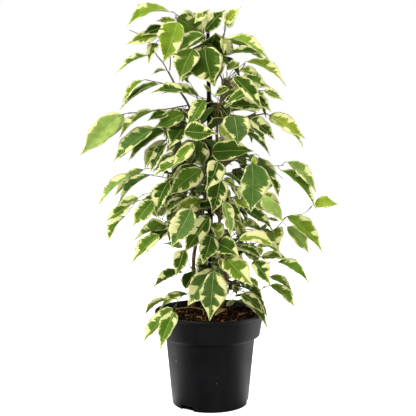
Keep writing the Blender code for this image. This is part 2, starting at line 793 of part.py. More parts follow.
def carried(side, normal, start, end):
    """The side and normal, turned as the direction turns from start to end, with no twist."""
    turn = start.rotation_difference(end)
    return turn @ side, turn @ normal


def leaf_points(plan, grow=0):
    """The leaf's mesh points. Grow makes it this much thicker and wider all round."""
    root, base, tip, normal = plan["root"], plan["base"], plan["tip"], plan["normal"]
    along = (tip - base).normalized()
    side = along.cross(normal)
    length = (tip - base).length
    petiole = (base - root).normalized()
    middle = (petiole + along).normalized()
    base_side, base_normal = carried(side, normal, along, middle)
    root_side, root_normal = carried(base_side, base_normal, middle, petiole)
    radius = PETIOLE_RADIUS + grow
    last = len(plan["stations"]) + 3
    found = []
    for ring, across, rise in FRAMES[plan["stations"]][0]:
        if ring == 0:
            found.append(root - petiole * PETIOLE_SINK)
        elif ring == 1:
            found.append(root + (root_side * across + root_normal * rise) * radius)
        elif ring == 2:
            found.append(base + (base_side * across + base_normal * rise) * radius)
        elif ring == last:
            found.append(tip.copy())
        else:
            t = plan["stations"][ring - 3]
            half = plan["width"] * blade_half_width(t) + grow
            wave = BLADE_WAVE * math.sin(BLADE_WAVE_TURN * ring + plan["phase"] + across)
            lift = plan["arch"] * length * 4 * t * (1 - t)
            point = base + along * length * t + normal * lift
            if across:
                point += side * across * half * math.cos(BLADE_FOLD)
                point += normal * (half * math.sin(BLADE_FOLD) + wave)
            else:
                point += normal * rise * (BLADE_HALF_THICKNESS + grow)
            found.append(point)
    return found


def plan_leaf(spec, courses):
    """A leaf in space: blade ends, upper normal, width and arch, from how it is seen."""
    column, row = spec["base"]
    course = min(
        courses,
        key=lambda c: (c[nearest_in_picture(c, column, row)].xy - Vector((column, row))).length,
    )
    depth = course[nearest_in_picture(course, column, row)].z + spec["lift"]
    base = seen_at(column, row, depth)
    flat = (seen_at(*spec["tip"], depth) - base).length
    seen_width = spec["seen_width"] * (base - EYE).length / LENS
    wanted = min(LONGEST_FORESHORTENED, YOUNG_BLADE_RATIO * seen_width)
    reach = spec["reach"]
    if reach is None:
        outward = 1 if spec["lift"] > INWARD_LIFT else -1
        reach = outward / MM * max(LEAST_REACH * flat, math.sqrt(max(0, wanted**2 - flat**2)))
    tip = seen_at(*spec["tip"], depth + reach)
    along = (tip - base).normalized()
    length = (tip - base).length
    to_eye = (EYE - base).normalized()
    to_eye = (to_eye - along * to_eye.dot(along)).normalized()
    side = along.cross(to_eye)
    favoured = Vector((math.copysign(SIDE_FAVOUR, base.x), 0, 1))
    if side.dot(favoured) < 0:
        side.negate()
    width = max(seen_width * WIDTH_ALLOWANCE, BLADE_RATIO * length)
    roll = math.acos(min(FULL_FACE, seen_width / width))
    normal = to_eye * math.cos(roll) * spec["face"] + side * math.sin(roll)
    return {
        "base": base,
        "tip": tip,
        "normal": normal,
        "width": width,
        "arch": spec["arch"],
        "seen_width": spec["seen_width"],
        "stations": BLADE_STATIONS if spec["seen_width"] > NARROW else COARSE_STATIONS,
    }


def plan_shoot(name):
    """A shoot's twigs and leaves as they are seen from the front."""
    spec = SHOOTS[name]
    stem_course = smooth(STEMS[spec["stem"]][0], STEM_SEARCH_STEPS)
    courses = []
    for twig in spec["twigs"]:
        parent = courses[0] if courses else stem_course
        start = parent[nearest_in_picture(parent, twig[0][0], twig[0][1])]
        courses.append(smooth([start, *twig[1:]], TWIG_STEPS))
    twigs = [[seen_at(*place) for place in course[::2]] for course in courses]
    return {
        "name": name,
        "stem": spec["stem"],
        "twigs": twigs,
        "leaves": [plan_leaf(item, courses) for item in spec["leaves"]],
    }


def far_shoot(plan, rng):
    """The like shoot on the far side: mirrored in depth and turned a little about its root."""
    root = plan["twigs"][0][0]
    front = min(min(item["base"].y, item["tip"].y) for item in plan["leaves"])
    share = (-FAR_SHARE * front - root.y) / (root.y - front)
    share = max(FAR_LEAST_DEPTH, min(1, share))
    turn = Matrix.Rotation(rng.uniform(-FAR_TURN, FAR_TURN), 4, "Z")
    flip = Matrix.Diagonal((1, -share, 1, 1))
    about = Matrix.Translation(root) @ turn @ flip @ Matrix.Translation(-root)
    leaves = []
    for item in plan["leaves"]:
        if item["seen_width"] < NARROW:
            continue
        moved = dict(item)
        moved["base"] = about @ item["base"]
        moved["tip"] = about @ item["tip"]
        along = (moved["tip"] - moved["base"]).normalized()
        normal = turn.to_3x3() @ Vector((item["normal"].x, -item["normal"].y, item["normal"].z))
        moved["normal"] = (normal - along * normal.dot(along)).normalized()
        moved["stations"] = COARSE_STATIONS
        leaves.append(moved)
    return {
        "name": f"back_{plan['name']}",
        "stem": plan["stem"],
        "twigs": [[about @ point for point in twig] for twig in plan["twigs"]],
        "leaves": leaves,
    }


def stem_clearance(point, along, stem_points, stem_radii):
    """How far a twig's end at the point, running along, stands from the stem's bark."""
    nearest, axis, bark, at_end = None, None, 0, False
    for index, (a, b) in enumerate(zip(stem_points, stem_points[1:])):
        share = max(0, min(1, intersect_point_line(point, a, b)[1]))
        distance = (point - a.lerp(b, share)).length
        if nearest is None or distance < nearest:
            nearest, axis, bark = distance, (b - a).normalized(), stem_radii[index]
            at_end = share == 1 and index == len(stem_points) - 2
    lean = abs(axis.dot(along))
    if at_end:
        return nearest - TWIG_ROOT_RADIUS * math.sqrt(1 - lean**2)
    return nearest - bark - TWIG_ROOT_RADIUS * lean


def trim_to_stem(twig, stem_points, stem_radii):
    """The twig from where it leaves its stem's bark by the gap."""
    for index, (start, end) in enumerate(zip(twig, twig[1:])):
        span = end - start
        steps = max(1, int(span.length / TRIM_STEP))
        for step in range(steps):
            point = start + span * step / steps
            if stem_clearance(point, span.normalized(), stem_points, stem_radii) > GAP:
                return [point, *twig[index + 1:]]
    return twig


def tube_frame(points, radii):
    """A four-sided tube's points and triangles, without caps, for testing what it crosses."""
    found, faces = [], []
    for index, (point, radius) in enumerate(zip(points, radii)):
        ahead = points[min(index + 1, len(points) - 1)] - points[max(index - 1, 0)]
        side, normal = square_to(ahead.normalized(), Vector((1, 0, 0)), Vector((0, 0, 1)))
        found += [point + way * radius for way in (side, normal, -side, -normal)]
    for index in range(len(points) - 1):
        for corner in range(4):
            a = 4 * index + corner
            b = 4 * index + (corner + 1) % 4
            faces += [[a, b, b + 4], [a, b + 4, a + 4]]
    return found, faces


def clear_twig(shoot, index, placed):
    """Bends a twig round what stands in its way, most near its root, and stands it there."""
    twig = shoot["twigs"][index]
    ahead = (twig[-1] - twig[0]).normalized()
    across = ahead.cross(Vector((0, 0, 1))).normalized()
    upward = across.cross(ahead)
    last = len(twig) - 1
    shares = [(step / last) ** TWIG_BEND_NEAR_ROOT for step in range(len(twig))]
    weights = [math.sin(math.pi * share) for share in shares]
    radii = tapered(TWIG_ROOT_RADIUS, TWIG_END_RADIUS, len(twig))
    wide = [radius + CLEARANCE for radius in radii]
    shifts = [(a * MM, b * MM) for a in TWIG_SHIFTS for b in TWIG_SHIFTS]
    shifts.sort(key=lambda shift: abs(shift[0]) + abs(shift[1]))
    for sideways, rise in shifts:
        trial = [
            point + (across * sideways + upward * rise) * weight
            for point, weight in zip(twig, weights)
        ]
        if placed.crossed(*tube_frame(trial, wide), skipped=(shoot["name"], shoot["stem"])):
            continue
        if placed.crossed(*tube_frame(trial, radii), skipped=placed.others(shoot["stem"])):
            continue
        shoot["twigs"][index] = trial
        placed.add(shoot["name"], *tube_frame(trial, radii))
        return


def choose_root(twigs, base, along):
    """Where the petiole leaves the twig: near its usual length and not bent back sharply."""
    def cost(point):
        petiole = base - point
        bend = 1 - petiole.normalized().dot(along)
        return abs(petiole.length - PETIOLE_LENGTH) + PETIOLE_BEND_COST * bend

    places = []
    for twig in twigs:
        for a, b in zip(twig, twig[1:]):
            places += [a.lerp(b, share) for share in PETIOLE_PLACES]
    return min(places, key=cost)


class Placed:
    """The solids that stand already, each with the box that holds it."""

    def __init__(self):
        self.items = []

    def add(self, owner, points, faces):
        low = [min(p[axis] for p in points) for axis in range(3)]
        high = [max(p[axis] for p in points) for axis in range(3)]
        self.items.append((owner, low, high, BVHTree.FromPolygons(points, faces)))

    def add_object(self, owner, obj):
        mesh = evaluated_mesh(obj)
        mesh.calc_loop_triangles()
        points = [vertex.co.copy() for vertex in mesh.vertices]
        faces = [list(triangle.vertices) for triangle in mesh.loop_triangles]
        self.add(owner, points, faces)
        bpy.data.meshes.remove(mesh)

    def others(self, *owners):
        """Every owner but these."""
        return {item[0] for item in self.items} - set(owners)

    def crossed(self, points, faces, skipped=()):
        """The owners of the solids that this mesh crosses."""
        low = [min(p[axis] for p in points) for axis in range(3)]
        high = [max(p[axis] for p in points) for axis in range(3)]
        tree = None
        found = set()
        for owner, item_low, item_high, item_tree in self.items:
            if owner in skipped or owner in found:
                continue
            if any(low[i] > item_high[i] or high[i] < item_low[i] for i in range(3)):
                continue
            tree = tree or BVHTree.FromPolygons(points, faces)
            if tree.overlap(item_tree):
                found.add(owner)
        return found


def bent(plan, lift, swing, roll):
    """The leaf moved along the line of sight by lift, its tip also by swing, and rolled."""
    moved = dict(plan)
    base, tip = plan["base"], plan["tip"]
    moved["base"] = base + (EYE - base).normalized() * lift * MM
    moved["tip"] = tip + (EYE - tip).normalized() * (lift + swing) * MM
    along = (moved["tip"] - moved["base"]).normalized()
    normal = plan["normal"] - along * plan["normal"].dot(along)
    moved["normal"] = Matrix.Rotation(math.radians(roll), 3, along) @ normal.normalized()
    return moved


def ways_to_bend():
    """Every mix of lift, swing and roll, the smallest first."""
    def cost(way):
        lift, swing, roll = way
        return abs(lift) + SWING_WEIGHT * abs(swing) + ROLL_WEIGHT * abs(roll)

    return sorted(
        [(lift, swing, roll) for lift in LIFTS for swing in SWINGS for roll in ROLLS], key=cost
    )


def crosses_itself(points, faces):
    tree = BVHTree.FromPolygons(points, faces)
    return any(not set(faces[a]) & set(faces[b]) for a, b in tree.overlap(tree))


def settle_leaf(plan, shoot, placed, ways):
    """The leaf bent clear of all that stands, or None where it has no room."""
    frame_points, frame_faces = FRAMES[plan["stations"]]
    blade_faces = [f for f in frame_faces if min(frame_points[i][0] for i in f) >= 2]
    own = shoot["name"]
    fallback = None
    for way in ways:
        trial = bent(plan, *way)
        along = (trial["tip"] - trial["base"]).normalized()
        trial["root"] = choose_root(shoot["twigs"], trial["base"], along)
        if crosses_itself(leaf_points(trial), frame_faces):
            continue
        points = leaf_points(trial, CLEARANCE)
        if placed.crossed(points, frame_faces, skipped=(own, f"{own} leaves")):
            continue
        if not placed.crossed(points, blade_faces, skipped=placed.others(own, f"{own} leaves")):
            return trial
        fallback = fallback or trial
    return fallback


def plan_plant(placed, stem_paths):
    """Every shoot, with its twigs trimmed at their stem and bent clear."""
    rng = random.Random(FAR_SEED)
    shoots = [plan_shoot(name) for name in SHOOTS]
    by_name = {shoot["name"]: shoot for shoot in shoots}
    shoots += [far_shoot(by_name[name], rng) for name in FAR_SHOOTS]
    for shoot in shoots:
        points, radii = stem_paths[shoot["stem"]]
        shoot["twigs"][0] = trim_to_stem(shoot["twigs"][0], points, radii)
        for index in range(len(shoot["twigs"])):
            clear_twig(shoot, index, placed)
        shoot["settled"] = []
    return shoots


def settle_leaves(shoots, placed):
    """Settles every leaf, those nearest to the front first."""
    ways = ways_to_bend()
    rng = random.Random(FAR_SEED)
    queue = []
    for shoot in shoots:
        for item in shoot["leaves"]:
            item["phase"] = rng.uniform(0, math.tau)
            queue.append((item["base"].y + item["tip"].y, shoot, item))
    queue.sort(key=lambda entry: entry[0])
    for _, shoot, item in queue:
        settled = settle_leaf(item, shoot, placed, ways)
        if settled:
            faces = FRAMES[settled["stations"]][1]
            placed.add(f"{shoot['name']} leaves", leaf_points(settled), faces)
            shoot["settled"].append(settled)


def build_twigs(shoot, collection, look):
    """The shoot's twigs, as separate closed tubes."""
    made = []
    for index, twig in enumerate(shoot["twigs"]):
        radii = tapered(TWIG_ROOT_RADIUS, TWIG_END_RADIUS, len(twig))
        name = f"shoot_{shoot['name']}" if index == 0 else f"side_twig_{index}"
        made.append(tube(name, twig, radii, 0, collection, look))
    return made


def leaf_object(plan, collection):
    """One leaf as a closed mesh of its own."""
    mesh = bpy.data.meshes.new("leaf")
    mesh.from_pydata(leaf_points(plan), [], FRAMES[plan["stations"]][1])
    obj = bpy.data.objects.new("leaf", mesh)
    collection.objects.link(obj)
    return obj


def clear_slivers(mesh):
    """Collapses the very thin triangles that a union leaves along its seams."""
    work = bmesh.new()
    work.from_mesh(mesh)
    bmesh.ops.triangulate(work, faces=work.faces)
    bmesh.ops.dissolve_degenerate(work, dist=SLIVER, edges=work.edges)
    bmesh.ops.triangulate(work, faces=work.faces)
    work.to_mesh(mesh)
    work.free()


def join_shoot(shoot, twigs, collection):
    """The twig with its side twigs and leaves joined to it in one Boolean union."""
    main = twigs[0]
    joined = new_collection("joined")
    for twig in twigs[1:]:
        collection.objects.unlink(twig)
        joined.objects.link(twig)
    for plan in shoot["settled"]:
        leaf_object(plan, joined)
    union = main.modifiers.new("join", "BOOLEAN")
    union.operation = "UNION"
    union.operand_type = "COLLECTION"
    union.collection = joined
    union.solver = "MANIFOLD"
    mesh = evaluated_mesh(main)
    main.modifiers.clear()
    main.data = mesh
    clear_slivers(mesh)
    for obj in list(joined.objects):
        bpy.data.objects.remove(obj)
    bpy.data.collections.remove(joined)
    mesh.shade_smooth()
    mesh.set_sharp_from_angle(angle=SHARP_ANGLE)


def main():
    for obj in list(bpy.data.objects):
        bpy.data.objects.remove(obj)
    collection = new_collection("weeping_fig")
    bark = material(*BARK)
    green = material(*LEAF_GREEN)
    black = material(*STAKE_PLASTIC)

    placed = Placed()
    stem_paths = {name: stem_path(name) for name in STEMS}
    stake = stake_path()
    placed.add_object("pot", build_pot(collection))
    placed.add_object("soil", build_soil(collection, stem_paths, stake))
    placed.add_object("stake", tube("stake", stake, [STAKE_RADIUS] * 2, 2, collection, black))
    for name, (points, radii) in stem_paths.items():
        placed.add_object(name, tube(name, points, radii, 1, collection, bark))

    shoots = plan_plant(placed, stem_paths)
    twigs = {}
    for shoot in shoots:
        twigs[shoot["name"]] = build_twigs(shoot, collection, green)
    settle_leaves(shoots, placed)
    for shoot in shoots:
        join_shoot(shoot, twigs[shoot["name"]], collection)


main()
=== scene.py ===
"""The looks of a variegated weeping fig in its nursery pot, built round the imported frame."""

import math
import random

import bmesh
import bpy
from bpy.props import FloatProperty, FloatVectorProperty, IntProperty, PointerProperty
from mathutils import Matrix, Vector, noise
from mathutils.bvhtree import BVHTree
from mathutils.geometry import intersect_point_line
from mathutils.kdtree import KDTree


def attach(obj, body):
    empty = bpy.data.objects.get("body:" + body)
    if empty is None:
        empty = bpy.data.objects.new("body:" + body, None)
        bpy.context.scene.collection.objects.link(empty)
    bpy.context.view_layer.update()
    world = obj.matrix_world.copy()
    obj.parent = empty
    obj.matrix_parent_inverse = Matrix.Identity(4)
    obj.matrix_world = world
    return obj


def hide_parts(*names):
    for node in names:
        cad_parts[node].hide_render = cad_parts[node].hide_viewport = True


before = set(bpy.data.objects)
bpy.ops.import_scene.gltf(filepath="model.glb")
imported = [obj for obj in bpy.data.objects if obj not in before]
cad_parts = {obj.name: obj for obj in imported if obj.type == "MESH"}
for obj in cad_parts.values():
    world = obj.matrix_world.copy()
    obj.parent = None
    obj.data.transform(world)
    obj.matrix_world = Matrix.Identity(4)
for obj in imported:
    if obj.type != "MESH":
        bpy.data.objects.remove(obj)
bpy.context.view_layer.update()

bl_info = {
    "name": "Weeping fig in a nursery pot",
    "version": (1, 0, 0),
    "blender": (4, 5, 0),
    "location": "3D View > Sidebar > Weeping fig",
    "description": "Leaves, bark, soil and pot for the packed weeping fig",
    "category": "Object",
}

MM = 0.001
GAP = 0.3 * MM
UPPER = 1
UNDER = -1

# Pot and soil, as the frame has them
POT_HEIGHT = 144 * MM
LIP_RADIUS = 85 * MM
LIP_DEPTH = 4 * MM
COLLAR_TOP_RADIUS = 81 * MM
COLLAR_FOOT_RADIUS = 76 * MM
COLLAR_FOOT_HEIGHT = 108 * MM
BODY_TOP_RADIUS = 68 * MM
BODY_TOP_HEIGHT = 103 * MM
FOOT_RADIUS = 58.3 * MM
FOOT_CHAMFER = 1.4 * MM
STEP_CHAMFER = 1 * MM
POT_WALL = 1.6 * MM
POT_FLOOR = 2 * MM
NOTCH_COUNT = 3
NOTCH_SIZE = (23 * MM, 15 * MM)
NOTCH_ROUNDING = 1.6 * MM
NOTCH_REACH = 6 * MM
NOTCH_AZIMUTH = math.radians(-127)
SOIL_HEIGHT = 136 * MM
SOIL_MARGIN = 1.2 * MM
SOIL_BUMP = 1.6 * MM
SOIL_WAVES = (9 * MM, 11 * MM)
SOIL_PHASE = 1.3
CROSS_WAVE = 6 * MM
CROSS_PHASE = 0.4
CROSS_SHARE = 0.6
# The finished soil's lumps and crumbs: how many to a millimetre, and how high they stand
CRUMBLES = ((0.11, 1.3), (0.33, 0.8))
CRUMBLE_LIFT = 0.2
BURIED = 32 * MM

# Twigs and leaves, as the frame has them
TWIG_ROOT_RADIUS = 1.35 * MM
TWIG_END_RADIUS = 1.1 * MM
TWIG_BEND_NEAR_ROOT = 0.6
PETIOLE_LENGTH = 11 * MM
PETIOLE_BEND_COST = 6 * MM
PETIOLE_PLACES = (0.2, 0.4, 0.6, 0.8)
BLADE_RATIO = 0.38
BLADE_FOLD = math.radians(16)
BLADE_WAVE = 0.9 * MM
BLADE_WAVE_TURN = 2.3
BLADE_SKEW = 0.72
BLADE_FULLNESS = 0.9
TIP_START = 0.66
TIP_SPAN = 0.24
TIP_NARROWING = 0.5
BLADE_STATIONS = (0.17, 0.42, 0.67, 0.88)
COARSE_STATIONS = (0.24, 0.56, 0.84)
FIRST_RING = 3
NARROW = 8
YOUNG_BLADE_RATIO = 2.6
LONGEST_FORESHORTENED = 50 * MM
LEAST_REACH = 0.12
INWARD_LIFT = -12
WIDTH_ALLOWANCE = 1.04
FULL_FACE = 0.97
SIDE_FAVOUR = 0.5
TRIM_STEP = 0.1 * MM
FIT = 0.02 * MM

# The view that the plant was read in: its eye, its downward pitch and its lens in pixels
EYE = Vector((-0.0035, -1.47, 0.463))
EYE_PITCH = math.radians(6.28)
AHEAD = Vector((0, math.cos(EYE_PITCH), -math.sin(EYE_PITCH)))
UPWARD = Vector((0, math.sin(EYE_PITCH), math.cos(EYE_PITCH)))
LENS = 977
PICTURE_MIDDLE = 208
PICTURE_WIDTH = 416
STEM_SEARCH_STEPS = 12

# The leaves' greens, and below them the other colours that patterns use, in linear light
# Deepest green: painted shade deep in the plant; dark green: own colour and painted shade
DEEP_SHADE = (0.010, 0.026, 0.001)
DARK = (0.034, 0.078, 0.004)
MID = (0.088, 0.170, 0.012)
COOL = (0.074, 0.146, 0.026)
FRESH = (0.195, 0.300, 0.056)
SUNLIT = (0.360, 0.490, 0.105)
BRIGHT = (0.170, 0.266, 0.016)
LIME = (0.300, 0.400, 0.034)
PALE = (0.160, 0.230, 0.016)
GREY = (0.130, 0.190, 0.035)
GREY_GREEN = (0.42, 0.5, 0.13)
RIM_CREAM = (0.62, 0.66, 0.22)
VEIN_GREEN = (0.42, 0.55, 0.12)
MIDRIB_GREEN = (0.45, 0.56, 0.17)
UNDER_GREEN = (0.22, 0.30, 0.09)
OLIVE_BARK = (0.12, 0.10, 0.055)
YOUNG_BARK = ((0.040, 0.040, 0.012), (0.115, 0.105, 0.034))
PORE_BROWN = (0.32, 0.25, 0.15)
# Painted highlight grey for the pot's lighter vertical streaks
STREAK_HIGHLIGHT_GREY = (0.006, 0.0062, 0.0068)
SCUFF_GREY = (0.035, 0.035, 0.037)
DUST = (0.45, 0.44, 0.42)
STAKE_GREY = (0.006, 0.006, 0.006)
FIBRE_BROWN = (0.10, 0.038, 0.014)
GRIT = (0.24, 0.15, 0.07)
SPLIT_BROWN = (0.035, 0.02, 0.012)
DRY_LEAF = ((0.42, 0.30, 0.10), (0.17, 0.09, 0.03))
MIRRORED_FLOOR = (0.02, 0.02, 0.02)

# What holds for a leaf where the catalogue doesn't say otherwise. The finished blade may be wider
# and longer than the frame's, by these shares, and stand forward of it by so many millimetres.
LEAF_AS_A_RULE = {
    "face": UPPER, "arch": 0.08, "reach": None, "wide": 1, "long": 1, "forward": 0,
}

# Each stem's course as (column, row, depth), and its radii at the foot and at the upper end
STEMS = {
    "stem_left": ([
        (193.6, 306, -50), (193.7, 280, -44), (193.9, 256, -38), (199, 230, -30), (204, 205, -22),
        (205.5, 170, -14), (205, 135, -10), (197, 125, -4), (186.8, 101.6, 0), (176.4, 86.6, 0),
        (168, 71.2, 0),
    ], 3.6 * MM, 1.9 * MM),
    "stem_right": ([
        (219, 311, -24), (225, 294, -14), (225.5, 276, -8), (221.5, 250, -5), (219, 213, -3),
        (217.3, 170, 0), (217, 133, 0), (218.3, 108, 0), (222, 98, 0), (223, 84, 0),
        (220.5, 75, 0),
    ], 3.3 * MM, 1.7 * MM),
    "stem_centre": ([
        (208, 308, -46), (210, 270, -32), (211.5, 228, -20), (211.5, 180, -14), (211, 130, -13),
        (210, 90, -11), (207, 58, -8), (203.8, 34, -4),
    ], 3.1 * MM, 1.6 * MM),
}

